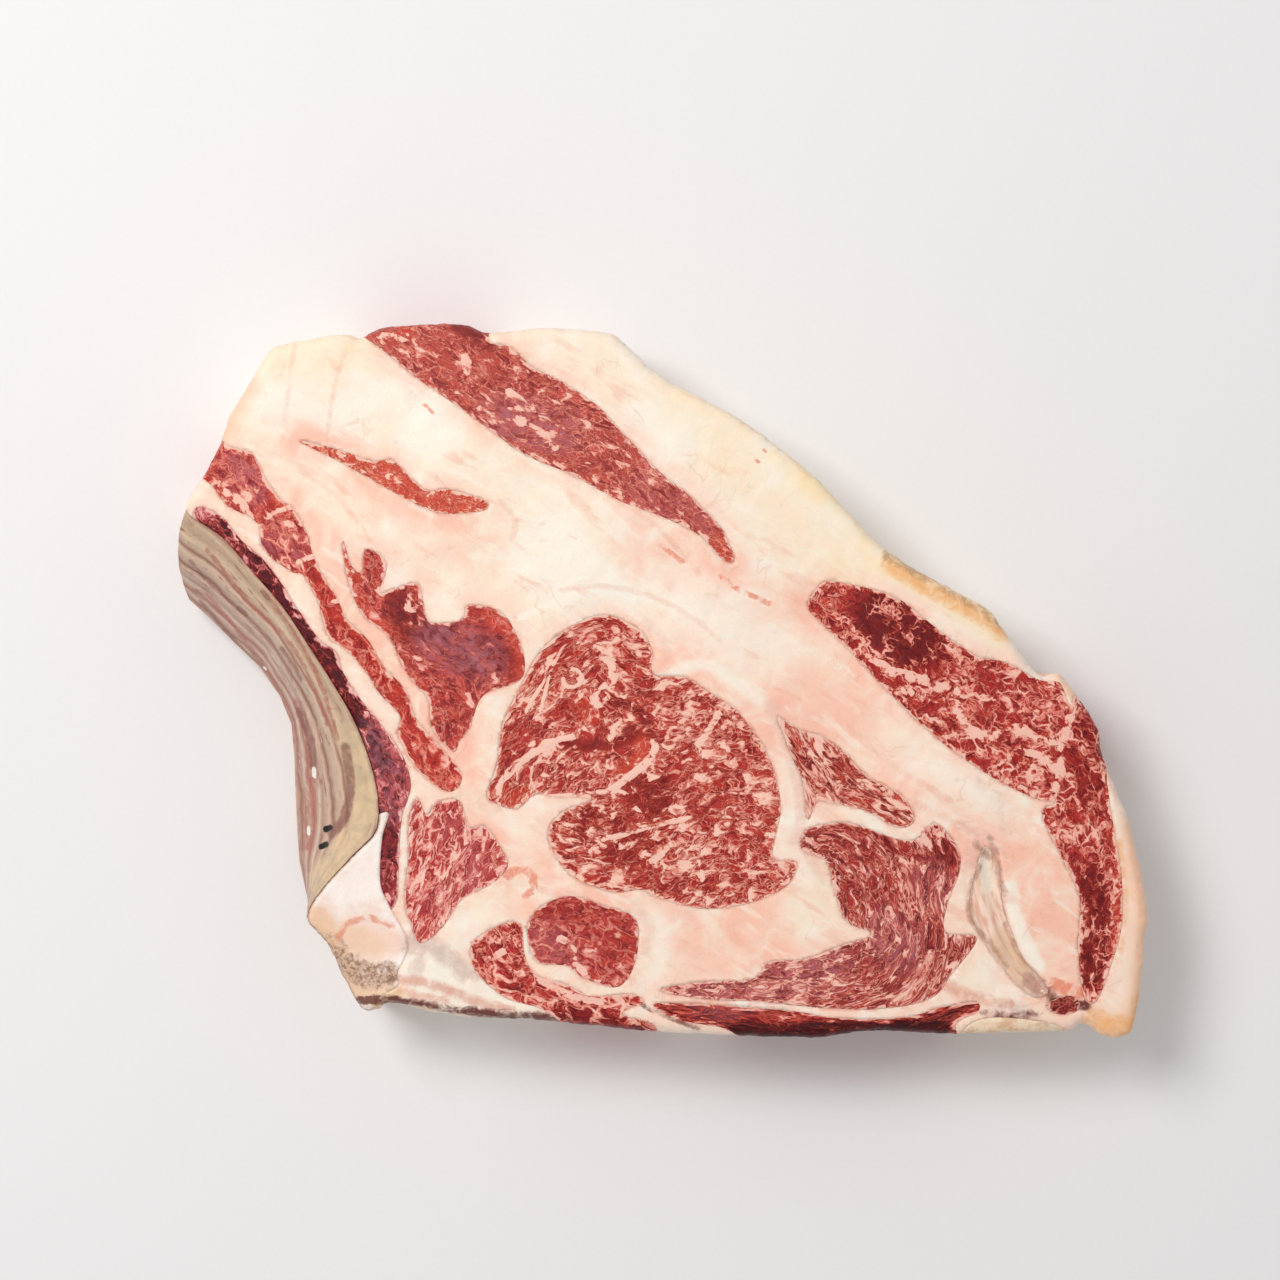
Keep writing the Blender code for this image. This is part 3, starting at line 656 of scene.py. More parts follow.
def mark_values(name, points):
    """Give how strongly one kind of mark shows at each point."""
    value = np.zeros(len(points))
    for strength, width, softness, line in MARKS[name]:
        path = place(smooth_path(line, MARK_STEPS))
        reach = (width + softness) * SCALE
        near = ((points > path.min(0) - reach) & (points < path.max(0) + reach)).all(1)
        gap = nearest_on_path(points[near], path)[0] / SCALE
        value[near] = np.maximum(value[near], strength * smooth_step((width + softness - gap) / softness))
    return value


def stroke_rows():
    """Give rows of points along the thin strokes, so that the net can carry them."""
    rows = []
    for strokes in MARKS.values():
        for _, width, softness, line in strokes:
            if width + softness > THIN_STROKE:
                continue
            path = smooth_path(line, ROW_STEPS)
            lengths = run_along(path)
            middle = follow(np.arange(0.0, lengths[-1], ROW_SPACING), lengths, path)
            ahead = np.gradient(middle, axis=0) if len(middle) > 1 else np.array([[1.0, 0.0]])
            ahead /= np.hypot(ahead[:, 0], ahead[:, 1])[:, None] + TINY
            across = np.stack([-ahead[:, 1], ahead[:, 0]], 1)
            for side in (-1.0, -0.5, 0.0, 0.5, 1.0):
                rows.append(place(middle + across * side * (width + softness)))
    return np.vstack(rows)


def nibble(loop):
    """Give the way into the slab at each outline point, and how far the cut edge is nibbled in there."""
    ahead = np.roll(loop, -1, 0) - np.roll(loop, 1, 0)
    inward = np.stack([-ahead[:, 1], ahead[:, 0]], 1) / np.hypot(ahead[:, 0], ahead[:, 1])[:, None]
    depth = 0.35 + 0.30 * waves(loop, 7.0 * MM, 21.0) + 0.30 * waves(loop, 2.2 * MM, 25.0)
    fade = smooth_step(nearest_on_path(loop, RIM)[0] / RIM_FADE)
    return inward, np.clip(depth, 0.02, 1.2) * fade * MM


def sides(corners):
    """List the three directed sides of each triangle."""
    return np.vstack([corners[:, [0, 1]], corners[:, [1, 2]], corners[:, [2, 0]]])


def keys(pairs, count):
    """Give each pair of point numbers a number of its own."""
    return pairs[:, 0].astype(np.int64) * count + pairs[:, 1]


class Plan:
    """The upper cut face as one fine net of triangles, shared out among the pieces."""

    def __init__(self, step):
        self.loops = {name: drawn_loop(points, step) for name, points in OUTLINES.items()}
        outline = drawn_loop(FACE, step)
        self.inward, self.bite = nibble(outline)
        self.face = outline + self.inward * self.bite[:, None]
        self.triangulate(step)
        self.share_out()
        self.measure()
        self.raise_surface()

    def triangulate(self, step):
        """Fill the outlines with an even net of points."""
        loops = [self.face, *self.loops.values()]
        fixed = np.vstack(loops)
        edges, faces, start = [], [], 0
        for loop in loops:
            index = list(range(start, start + len(loop)))
            edges += list(zip(index, index[1:] + index[:1]))
            faces.append(index)
            start += len(loop)
        low, high = self.face.min(0), self.face.max(0)
        row_height = step * math.sqrt(3) / 2
        columns, rows = np.meshgrid(np.arange(low[0], high[0], step), np.arange(low[1], high[1], row_height))
        columns[1::2] += step / 2
        grid = np.stack([columns.ravel(), rows.ravel()], 1)
        cells = {tuple(cell) for cell in np.floor(fixed / step).astype(int).tolist()}
        keep = [tuple(cell) not in cells for cell in np.floor(grid / step).astype(int).tolist()]
        grid = np.vstack([grid[keep], stroke_rows()])
        points = [Vector(p) for p in np.vstack([fixed, grid]).tolist()]
        made = delaunay_2d_cdt(points, edges, faces, 0, TINY, True)
        self.points = np.array([tuple(v) for v in made[0]])
        self.triangles = np.array(made[2])
        self.owners = made[5]

    def share_out(self):
        """Give each triangle to the first piece whose outline holds it, or to the fat, or to nothing."""
        self.region = np.full(len(self.triangles), OUTSIDE)
        for i, owner in enumerate(self.owners):
            if 0 in owner:
                inside = [k - 1 for k in owner if k > 0]
                self.region[i] = min(inside) if inside else FAT
        numbers = keys(np.sort(sides(self.triangles), 1), len(self.points))
        order = np.argsort(numbers, kind="stable")
        triangle = np.tile(np.arange(len(self.triangles)), 3)
        same = numbers[order][1:] == numbers[order][:-1]
        first, second = triangle[order][:-1][same], triangle[order][1:][same]
        for owner in [FAT, *range(len(PIECES))]:
            self.drop_islands(owner, first, second)
        self.links = np.unique(keys(sides(self.triangles[self.region != OUTSIDE]), len(self.points)))

    def drop_islands(self, owner, first, second):
        """Hand every scrap of a piece that is cut off from its main body to a neighbour."""
        region = self.region
        mine = (region[first] == owner) & (region[second] == owner)
        label = np.arange(len(region))
        a, b = first[mine], second[mine]
        changed = True
        while changed:
            low = np.minimum(label[a], label[b])
            before = label.copy()
            np.minimum.at(label, a, low)
            np.minimum.at(label, b, low)
            label = label[label]
            changed = bool((label != before).any())
        members = np.flatnonzero(region == owner)
        if not len(members):
            return
        values, counts = np.unique(label[members], return_counts=True)
        for value in values[counts < counts.max()]:
            scrap = members[label[members] == value]
            touching = np.isin(first, scrap) ^ np.isin(second, scrap)
            around = np.concatenate([region[first[touching]], region[second[touching]]])
            around = around[(around != owner) & (around != OUTSIDE)]
            region[scrap] = np.bincount(around + 1).argmax() - 1 if len(around) else OUTSIDE

    def measure(self):
        """Work out the distances, grain and marks that the surfaces and materials need."""
        points = self.points
        count = len(points)
        self.face_gap = nearest_on_path(points, close_loop(self.face))[0]
        self.rim_gap = nearest_on_path(points, RIM)[0]
        self.edge = np.full(count, FAR_AWAY)
        self.owner = np.full(count, FAT)
        for i in range(len(PIECES)):
            self.owner[np.unique(self.triangles[self.region == i])] = i
        fat = self.owner == FAT
        self.run = np.zeros(count)
        self.across = np.zeros(count)
        for i, name in enumerate(PIECES):
            loop = close_loop(self.loops[name][::2])
            near = ((points > loop.min(0) - EDGE_REACH) & (points < loop.max(0) + EDGE_REACH)).all(1)
            distance = np.full(count, FAR_AWAY)
            distance[near] = nearest_on_path(points[near], loop)[0] / MM
            self.edge[self.owner == i] = distance[self.owner == i]
            self.edge[fat] = np.minimum(self.edge[fat], distance[fat])
            self.lay_grain(name, i)
        self.marks = {name: mark_values(name, points) for name in MARKS}

    def lay_grain(self, name, owner):
        """Find smooth coordinates along and across a piece's grain, in millimetres."""
        used, corners = np.unique(self.triangles[self.region == owner], return_inverse=True)
        flat = self.points[used] / MM
        flow = np.zeros_like(flat)
        for line in GRAIN[name]:
            path = place(smooth_path(line, GRAIN_STEPS)) / MM
            gap, run = nearest_on_path(flat, path)
            steps = path[1:] - path[:-1]
            lengths = np.hypot(*steps.T)
            middles = np.cumsum(lengths) - lengths / 2
            flow += follow(run, middles, steps / lengths[:, None]) / (gap[:, None] ** 2 + GRAIN_SPREAD)
        flow /= np.hypot(flow[:, 0], flow[:, 1])[:, None] + TINY
        a, b = np.unique(np.sort(sides(corners.reshape(-1, 3)), 1), axis=0).T
        step = flat[a] - flat[b]
        mean = (flow[a] + flow[b]) / 2
        self.run[used] = even_out(a, b, (mean * step).sum(1), len(used))
        self.across[used] = even_out(a, b, mean[:, 0] * step[:, 1] - mean[:, 1] * step[:, 0], len(used))

    def raise_surface(self):
        """Set the height of the upper and lower faces at each point, and the lower face's lean."""
        points = self.points
        meat = self.owner >= 0
        height = np.full(len(points), THICKNESS)
        for size, length, seed in FACE_WAVES:
            height += size * waves(points, length, seed)
        height -= np.where(meat, MEAT_SINK * smooth_step(self.edge / MEAT_SINK_REACH), 0.0)
        height -= DENT_DEPTH * self.marks["dent"]
        height += VEIN_RISE * self.marks["vein"] * meat
        outside = smooth_step(self.rim_gap / ROUNDING_REACH)
        radius = (0.9 + 2.6 * outside + 1.2 * waves(points, 20 * MM, 11.0) * outside) * MM
        inset = np.clip(self.face_gap / radius, 0.0, 1.0)
        height -= radius * (1.0 - np.sqrt(1.0 - (1.0 - inset) ** 2))
        self.top = np.minimum(height, CAD_BOX[1][2] - TOP_MARGIN)
        foot = np.clip(self.face_gap / FOOT_ROUNDING, 0.0, 1.0)
        self.bottom = FOOT_ROUNDING * (1.0 - np.sqrt(1.0 - (1.0 - foot) ** 2))
        self.shift = lean(points)


def even_out(a, b, rise, count):
    """Find the values at the points whose differences along the links fit the given rises best."""
    def spread(values):
        slope = values[a] - values[b]
        return np.bincount(a, slope, count) - np.bincount(b, slope, count)

    rest = np.bincount(a, rise, count) - np.bincount(b, rise, count)
    values = np.zeros(count)
    heading = rest.copy()
    size = rest @ rest
    for _ in range(MOST_ROUNDS):
        if size < GOOD_FIT:
            break
        change = spread(heading)
        pace = size / (heading @ change)
        values += pace * heading
        rest -= pace * change
        before, size = size, rest @ rest
        heading = rest + size / before * heading
    return values


PLANS = {}


def plan():
    """Make the plan once and share it."""
    if "slab" not in PLANS:
        PLANS["slab"] = Plan(bpy.context.scene.steak_sizes.net_step)
    return PLANS["slab"]


def add_object(name, data):
    """Put a new object with the given data into the scene."""
    made = bpy.data.objects.new(name, data)
    bpy.context.scene.collection.objects.link(made)
    return made


def add_piece(name, spots, faces, soft, values):
    """Make a mesh object. Soft says which faces are shaded smooth. The values are stored on its points."""
    mesh = bpy.data.meshes.new(name)
    mesh.from_pydata(spots.tolist(), [], faces)
    for key, column in values.items():
        mesh.attributes.new(key, "FLOAT", "POINT").data.foreach_set("value", column.astype(np.float32))
    mesh.polygons.foreach_set("use_smooth", soft)
    mesh.update()
    return add_object(name, mesh)


def side_relief(base, z):
    """Give how far the slab's side is sunk at the outline points, at their heights."""
    depth = np.full(len(base), SIDE_DEPTH)
    for size, width, height in SIDE_WAVES:
        depth += size * np.array([noise.noise((x / width, y / width, h / height))
                                  for (x, y), h in zip(base.tolist(), z.tolist())])
    return np.clip(depth, *SIDE_RANGE) * MM


def side_levels(slab, rim):
    """Go down the slab's side: give the places of the outer points at each level and their depths."""
    base, foot = slab.points[rim], slab.points[rim] + slab.shift[rim]
    top, bottom = slab.top[rim], slab.bottom[rim]
    nearest = [np.argmin(((slab.face - spot) ** 2).sum(1)) for spot in base]
    inward, bite = slab.inward[nearest], slab.bite[nearest]
    fade = smooth_step(slab.rim_gap[rim] / RIM_FADE)
    for part in np.linspace(0.0, 1.0, SIDE_LEVELS + 2)[1:-1]:
        z = top * (1 - part) + bottom * part
        level = 1.0 - z / THICKNESS
        ease = smooth_step(np.minimum(top - z, z) / WALL_EASE)
        sunk = side_relief(base, z) * fade * ease - bite * ease
        flat = base * (1 - level)[:, None] + foot * level[:, None] + inward * sunk[:, None]
        yield np.column_stack([flat, z]), (top - z) / MM


def slab_values(slab, source, below):
    """Give the distances, grain and marks that the materials read. The marks fade down the sides."""
    values = {"edge": slab.edge[source], "run": slab.run[source], "across": slab.across[source]}
    values["below"] = below
    values["rind"] = slab.face_gap[source] / MM + RIND_SLOPE * below
    fade = 1.0 - smooth_step(below / MARK_DEPTH)
    for name, column in slab.marks.items():
        stays = STAYING_MARKS.get(name, 0.0)
        values[name] = column[source] * (fade * (1.0 - stays) + stays)
    return values


def slab_piece(name, owner):
    """Run one piece's share of the plan from the upper face to the lower one as a closed mesh."""
    slab = plan()
    used, corners = np.unique(slab.triangles[slab.region == owner], return_inverse=True)
    corners = corners.reshape(-1, 3)
    count = len(used)
    spots = [
        np.column_stack([slab.points[used], slab.top[used]]),
        np.column_stack([slab.points[used] + slab.shift[used], slab.bottom[used]]),
    ]
    source = [used, used]
    below = [np.zeros(count), (slab.top[used] - slab.bottom[used]) / MM]
    directed = sides(corners)
    border = directed[~np.isin(keys(directed, count), keys(directed[:, ::-1], count))]
    outer = ~np.isin(keys(used[border[:, ::-1]], len(slab.points)), slab.links)
    outer_points = np.unique(border[outer])
    columns = {point: [] for point in outer_points.tolist()}
    if columns:
        start = 2 * count
        for level, depth in side_levels(slab, used[outer_points]):
            for j, column in enumerate(columns.values()):
                column.append(start + j)
            start += len(columns)
            spots.append(level)
            source.append(used[outer_points])
            below.append(depth)
    faces = [*corners.tolist(), *(corners[:, ::-1] + count).tolist()]
    soft = [True] * len(faces)
    for (a, b), is_outer in zip(border.tolist(), outer.tolist()):
        left = [a, *columns.get(a, []), a + count]
        right = [b, *columns.get(b, []), b + count]
        if is_outer:
            wall = [(left[k], left[k + 1], right[k + 1], right[k]) for k in range(len(left) - 1)]
        else:
            wall = [(*left, *reversed(right))]
        faces += wall
        soft += [is_outer] * len(wall)
    values = slab_values(slab, np.concatenate(source), np.concatenate(below))
    return add_piece(name, np.vstack(spots), faces, soft, values)


class Finish:
    """A material's node tree, with one short call for each kind of node."""

    def __init__(self, name):
        self.material = bpy.data.materials.new(name)
        self.material.use_nodes = True
        self.nodes = self.material.node_tree.nodes
        self.links = self.material.node_tree.links
        self.shader = self.nodes["Principled BSDF"]
        self.spot = self.nodes.new("ShaderNodeTexCoord").outputs["Object"]

    def feed(self, socket, value):
        """Link a socket to an output, or set its number."""
        if isinstance(value, bpy.types.NodeSocket):
            self.links.new(value, socket)
        else:
            socket.default_value = value

    def read(self, name):
        """Read a number stored on the mesh."""
        node = self.nodes.new("ShaderNodeAttribute")
        node.attribute_name = name
        return node.outputs["Fac"]

    def work(self, operation, *values, clamp=False):
        """Work out a number from others."""
        node = self.nodes.new("ShaderNodeMath")
        node.operation = operation
        node.use_clamp = clamp
        for socket, value in zip(node.inputs, values):
            self.feed(socket, value)
        return node.outputs[0]

    def times(self, first, second):
        """Multiply two numbers."""
        return self.work("MULTIPLY", first, second)

    def grow(self, value, factor, added):
        """Multiply a number by a factor and add another."""
        return self.work("MULTIPLY_ADD", value, factor, added)

    def less(self, first, second):
        """Take the second number from the first."""
        return self.work("SUBTRACT", first, second)

    def centred(self, value):
        """Take a half off a noise, so that it swings about 0."""
        return self.less(value, 0.5)

    def ridge(self, value):
        """Give how far a noise is from its middle value, which it crosses along thin lines."""
        return self.work("ABSOLUTE", self.centred(value))

    def highest(self, first, *others):
        """Give the highest of several numbers."""
        for other in others:
            first = self.work("MAXIMUM", first, other)
        return first

    def ease(self, value, low, high):
        """Ease from 0 to 1 as a value goes from low to high."""
        node = self.nodes.new("ShaderNodeMapRange")
        node.interpolation_type = "SMOOTHSTEP"
        self.feed(node.inputs["Value"], value)
        node.inputs["From Min"].default_value = low
        node.inputs["From Max"].default_value = high
        return node.outputs["Result"]

    def blend(self, factor, first, second):
        """Blend two colours."""
        node = self.nodes.new("ShaderNodeMix")
        node.data_type = "RGBA"
        self.feed(node.inputs["Factor"], factor)
        for socket, value in ((node.inputs[6], first), (node.inputs[7], second)):
            self.feed(socket, value if isinstance(value, bpy.types.NodeSocket) else (*value, 1.0))
        return node.outputs[2]

    def tint(self, base, factor, share, colour):
        """Blend a colour in by a factor, up to a share of it."""
        return self.blend(self.times(factor, share), base, colour)

    def stroke(self, name, rough, spread, soft):
        """Read a mark with its edges made ragged by a noise."""
        shaken = self.grow(self.centred(rough), spread, self.read(name))
        return self.times(self.ease(shaken, 0.5 - soft, 0.5 + soft), self.ease(self.read(name), 0.0, 0.25))

    def lay(self, base, rough, rows):
        """Lay marks over a colour. A row has a mark, how ragged and soft it is, a share and a colour."""
        for name, spread, soft, share, colour in rows:
            base = self.tint(base, self.stroke(name, rough, spread, soft), share, colour)
        return base

    def vector(self, x, y, z):
        """Join three numbers into a place."""
        node = self.nodes.new("ShaderNodeCombineXYZ")
        for socket, value in zip(node.inputs, (x, y, z)):
            self.feed(socket, value)
        return node.outputs[0]

    def split(self, value):
        """Take a place apart into its three numbers."""
        node = self.nodes.new("ShaderNodeSeparateXYZ")
        self.feed(node.inputs[0], value)
        return node.outputs

    def noise_node(self, place_at, scale, detail, roughness=0.5, distortion=0.0):
        """Add a noise that varies over the places."""
        node = self.nodes.new("ShaderNodeTexNoise")
        self.feed(node.inputs["Vector"], place_at)
        node.inputs["Scale"].default_value = scale
        node.inputs["Detail"].default_value = detail
        node.inputs["Roughness"].default_value = roughness
        node.inputs["Distortion"].default_value = distortion
        return node

    def noise(self, place_at, *settings):
        """Give soft random numbers around a half."""
        return self.noise_node(place_at, *settings).outputs["Fac"]

    def stir(self, place_at, scale, amount):
        """Push a place about by soft random amounts."""
        level = self.nodes.new("ShaderNodeVectorMath")
        level.operation = "SUBTRACT"
        self.feed(level.inputs[0], self.noise_node(place_at, scale, 1.0).outputs["Color"])
        level.inputs[1].default_value = (0.5, 0.5, 0.5)
        push = self.nodes.new("ShaderNodeVectorMath")
        push.operation = "MULTIPLY_ADD"
        self.feed(push.inputs[0], level.outputs[0])
        push.inputs[1].default_value = (2.0 * amount, 2.0 * amount, 2.0 * amount)
        self.feed(push.inputs[2], place_at)
        return push.outputs[0]

    def cells(self, place_at, scale):
        """Give the distance from the nearest wall between random cells."""
        node = self.nodes.new("ShaderNodeTexVoronoi")
        node.feature = "DISTANCE_TO_EDGE"
        self.feed(node.inputs["Vector"], place_at)
        node.inputs["Scale"].default_value = scale
        return node.outputs["Distance"]

    def bump(self, height, distance, strength, normal=None):
        """Raise the surface's shading by a height between 0 and 1."""
        node = self.nodes.new("ShaderNodeBump")
        node.inputs["Strength"].default_value = strength
        node.inputs["Distance"].default_value = distance
        self.feed(node.inputs["Height"], height)
        if normal is not None:
            self.feed(node.inputs["Normal"], normal)
        return node.outputs["Normal"]

    def finish(self, colour, roughness, normal=None, specular=0.5, subsurface=0.0, radius=BONE_GLOW):
        """Give the shader its colour, gloss and relief, and the glow of light inside the surface."""
        self.feed(self.shader.inputs["Base Color"], colour)
        self.feed(self.shader.inputs["Roughness"], roughness)
        if normal is not None:
            self.feed(self.shader.inputs["Normal"], normal)
        self.shader.inputs["Specular IOR Level"].default_value = specular
        self.shader.inputs["Subsurface Weight"].default_value = subsurface
        self.shader.inputs["Subsurface Radius"].default_value = radius
        self.shader.inputs["Subsurface Scale"].default_value = GLOW_DEPTH
        return self.material


def fat_streaks(look):
    """Give long soft streaks that run down to the right across the cut face."""
    x, y, z = look.split(look.stir(look.spot, 18.0, 4.0 * MM))
    lie = look.vector(look.grow(x, 0.25, look.times(y, -0.15)), look.grow(x, 0.51, look.times(y, 0.86)), z)
    return look.noise(lie, 190.0, 3.0, 0.6)


def fat_material():
    """Make the fat's finish: waxy cream, pink by the meat, yellow and tan on the rind, with faint smears."""
    look = Finish("raw_fat")
    colours = bpy.context.scene.steak_colours
    low = look.noise(look.spot, 45.0, 4.0, 0.55, 0.6)
    patch = look.noise(look.spot, 80.0, 4.0, 0.6, 0.8)
    ragged = look.noise(look.spot, 300.0, 4.0, 0.65, 0.5)
    fine = look.noise(look.spot, 900.0, 3.0, 0.6)
    edge = look.read("edge")
    base = look.blend(look.ease(low, 0.38, 0.64), colours.fat, colours.bright_fat)
    near = look.times(look.ease(edge, 8.0, 0.0), 0.62)
    pink = look.times(look.work("ADD", near, look.read("pink"), clamp=True), look.ease(patch, 0.22, 0.62))
    base = look.blend(pink, base, colours.pink_fat)
    rim = look.times(look.ease(edge, 1.1, 0.1), look.ease(ragged, 0.42, 0.62))
    base = look.tint(base, rim, 0.5, tone(236, 140, 118))
    base = look.tint(base, look.read("bright"), 0.9, colours.bright_fat)
    thread = look.ease(look.ridge(look.noise(look.spot, 34.0, 3.0, 0.6, 1.2)), 0.012, 0.0)
    base = look.tint(base, look.times(thread, look.ease(patch, 0.48, 0.62)), 0.30, tone(226, 172, 146))
    streak = fat_streaks(look)
    faint = look.times(look.ease(streak, 0.55, 0.70), look.ease(low, 0.62, 0.42))
    base = look.tint(base, faint, 0.40, tone(240, 176, 150))
    base = look.tint(base, look.ease(streak, 0.44, 0.34), 0.45, colours.bright_fat)
    yellow = look.times(look.read("yellow"), look.ease(patch, 0.2, 0.6))
    base = look.tint(base, yellow, 0.9, colours.rind)
    base = look.tint(base, look.read("peach"), 0.9, tone(250, 198, 164))
    base = look.lay(base, ragged, [
        ("tan", 3.0, 0.9, 0.9, colours.tan_rind),
        ("crust", 4.0, 0.7, 0.7, colours.crust),
        ("grey", 3.0, 0.9, 0.55, tone(194, 160, 148)),
        ("film", 3.0, 0.9, 0.5, tone(230, 192, 178)),
        ("band", 3.0, 0.9, 0.7, tone(216, 142, 118)),
        # Painted shade in the fat's creases.
        ("painted_crease_shade", 4.0, 0.9, 0.28, tone(222, 158, 130)),
        ("speck", 6.0, 0.7, 0.75, tone(232, 128, 96)),
        ("stain", 3.5, 0.7, 0.95, tone(106, 32, 28)),
        # Painted shade along the groove beside the tendon.
        ("painted_groove_shade", 3.0, 0.8, 0.6, tone(164, 116, 98)),
    ])
    normal = look.bump(look.noise(look.spot, 150.0, 5.0, 0.6, 0.4), 0.7 * MM, 0.6)
    normal = look.bump(streak, 0.8 * MM, 0.5, normal)
    normal = look.bump(fine, 0.10 * MM, 0.4, normal)
    return look.finish(base, look.grow(fine, 0.25, 0.34), normal, 0.3, 0.2, FAT_GLOW)


# Each muscle's lean, deep and fleck colours; how far its marbling stretches along the grain; how strongly its
# threads bend; the spacing in millimetres and width of its long threads; the width of its fine threads; how
# high its flecks start; and the size and width of its cells.
MEAT_LOOKS = {
    "eye": (
        (184, 46, 38), (126, 10, 18), (250, 182, 162),
        1.6, 2.3, 4.6, 0.012, 0.006, 0.548, 2.8, 0.012,
    ),
    "cap": (
        (170, 46, 42), (96, 14, 26), (240, 166, 150),
        2.3, 3.2, 3.9, 0.016, 0.008, 0.575, 2.8, 0.006,
    ),
    "cap_lobe": (
        (178, 54, 44), (106, 28, 30), (246, 180, 160),
        2.6, 2.8, 3.8, 0.018, 0.009, 0.55, 2.8, 0.012,
    ),
    "top_strip": (
        (190, 74, 64), (138, 42, 44), (240, 164, 146),
        1.9, 1.6, 4.2, 0.005, 0.009, 0.59, 2.6, 0.014,
    ),
    "outer_strip": (
        (180, 38, 34), (112, 4, 18), (244, 158, 140),
        1.2, 2.2, 5.2, 0.01, 0.004, 0.6, 3.3, 0.05,
    ),
    "small_strip": (
        (216, 84, 62), (190, 54, 42), (250, 176, 150),
        1.5, 1.4, 3.4, 0.007, 0.008, 0.63, 3.0, 0.012,
    ),
    "finger_meat": (
        (196, 50, 40), (132, 12, 24), (244, 160, 140),
        1.5, 1.7, 6.0, 0.006, 0.006, 0.62, 4.8, 0.022,
    ),
    "upper_lobe": (
        (190, 62, 52), (120, 24, 34), (242, 162, 148),
        1.6, 1.8, 6.0, 0.004, 0.006, 0.64, 3.8, 0.01,
    ),
    "fan_meat": (
        (198, 56, 52), (138, 18, 32), (248, 172, 160),
        2.0, 2.3, 4.0, 0.013, 0.008, 0.56, 3.2, 0.03,
    ),
    "round_meat": (
        (186, 54, 48), (128, 24, 30), (240, 158, 144),
        1.4, 2.0, 6.5, 0.006, 0.006, 0.63, 6.0, 0.016,
    ),
    "corner_meat": (
        (182, 38, 36), (102, 4, 18), (246, 160, 142),
        1.6, 2.0, 5.0, 0.012, 0.005, 0.585, 3.6, 0.048,
    ),
    "edge_strip": (
        (128, 12, 20), (50, 0, 8), (222, 96, 84),
        4.0, 1.6, 3.2, 0.006, 0.005, 0.62, 3.0, 0.008,
    ),
    "edge_meat": (
        (124, 24, 28), (60, 6, 14), (204, 118, 104),
        1.6, 1.6, 4.0, 0.006, 0.006, 0.63, 3.0, 0.012,
    ),
    "rib_meat": (
        (156, 44, 56), (68, 0, 20), (222, 132, 138),
        1.5, 2.0, 4.8, 0.008, 0.007, 0.60, 3.6, 0.034,
    ),
}


def marbling(look, where, spacing, long_width, fine_width, fleck_from, cell, cell_width):
    """Give how far inside fat each place in a muscle is: above 0 in threads and flecks, below in lean."""
    patch = look.ease(look.noise(look.spot, 75.0, 2.0), 0.3, 0.7)
    long_net = look.noise(where, 0.9 / spacing, 2.5, 0.55)
    fine_net = look.noise(where, 2.1 / spacing, 2.5, 0.6)
    spots = look.noise(where, 1.5 / spacing, 3.0, 0.6)
    long_level = look.less(look.grow(patch, long_width * 1.1, long_width * 0.45), look.ridge(long_net))
    fine_level = look.less(look.grow(patch, fine_width * 1.3, fine_width * 0.3), look.ridge(fine_net))
    walls = look.grow(long_net, cell_width * 12.0, -cell_width * 5.0)
    walls = look.less(walls, look.cells(where, 1.0 / cell))
    flecks = look.less(spots, look.grow(patch, -0.05, fleck_from + 0.025))
    level = look.highest(long_level, fine_level, look.times(walls, 0.32), look.times(flecks, 0.4))
    level = look.less(level, look.times(look.read("dark"), 0.018))
    shaken = look.centred(spots)
    rim = look.less(0.45, look.grow(shaken, 7.0, look.read("edge")))
    level = look.highest(level, look.times(rim, 0.07))
    vein = look.read("vein")
    veined = look.grow(look.centred(long_net), 4.0, look.grow(shaken, 7.0, vein))
    inside = look.grow(look.ease(vein, 0.0, 0.3), 0.3, -0.3)
    return look.highest(level, look.grow(look.centred(veined), 0.08, inside))


def meat_material(name):
    """Make one muscle's finish: lean meat with fat marbled along its grain, and a painted lilac sheen."""
    *tones, stretch, bend = MEAT_LOOKS[name][:5]
    lean_tone, deep_tone, fleck_tone = (tone(*colour) for colour in tones)
    look = Finish(name + "_raw")
    depth = look.times(look.split(look.spot)[2], 430.0)
    grain = look.vector(look.work("DIVIDE", look.read("run"), stretch), look.read("across"),
                        look.work("ADD", depth, 10.0 * MEATS.index(name)))
    where = look.stir(look.stir(grain, 0.33, bend), 1.3, 0.55)
    level = marbling(look, where, *MEAT_LOOKS[name][5:])
    tonal = look.noise(where, 0.5, 4.0, 0.65)
    fibre = look.noise(where, 2.4, 3.0, 0.65)
    base = look.blend(look.ease(tonal, 0.34, 0.62), deep_tone, lean_tone)
    base = look.tint(base, look.ease(fibre, 0.52, 0.74), 0.45, tone(214, 96, 80))
    base = look.tint(base, look.ease(fibre, 0.46, 0.28), 0.5, deep_tone)
    base = look.tint(base, look.read("dark"), 0.75, tuple(c * 0.6 for c in deep_tone))
    base = look.tint(base, look.read("warm"), 0.75, tone(216, 70, 44))
    # Painted sheen: a lilac tint standing in for the light on the wet meat.
    base = look.tint(base, look.read("painted_sheen"), look.ease(tonal, 0.3, 0.75), tone(178, 112, 124))
    base = look.tint(base, look.ease(level, -0.026, 0.0), 0.5, tone(216, 78, 56))
    base = look.blend(look.ease(level, -0.012, 0.020), base, fleck_tone)
    base = look.tint(base, look.ease(level, 0.008, 0.038), 0.65, tone(254, 214, 196))
    normal = look.bump(look.ease(level, -0.03, 0.02), 0.22 * MM, 0.6)
    normal = look.bump(fibre, 0.22 * MM, 0.7, normal)
    return look.finish(base, look.grow(fibre, 0.25, 0.30), normal, 0.22, 0.08, MEAT_GLOW)


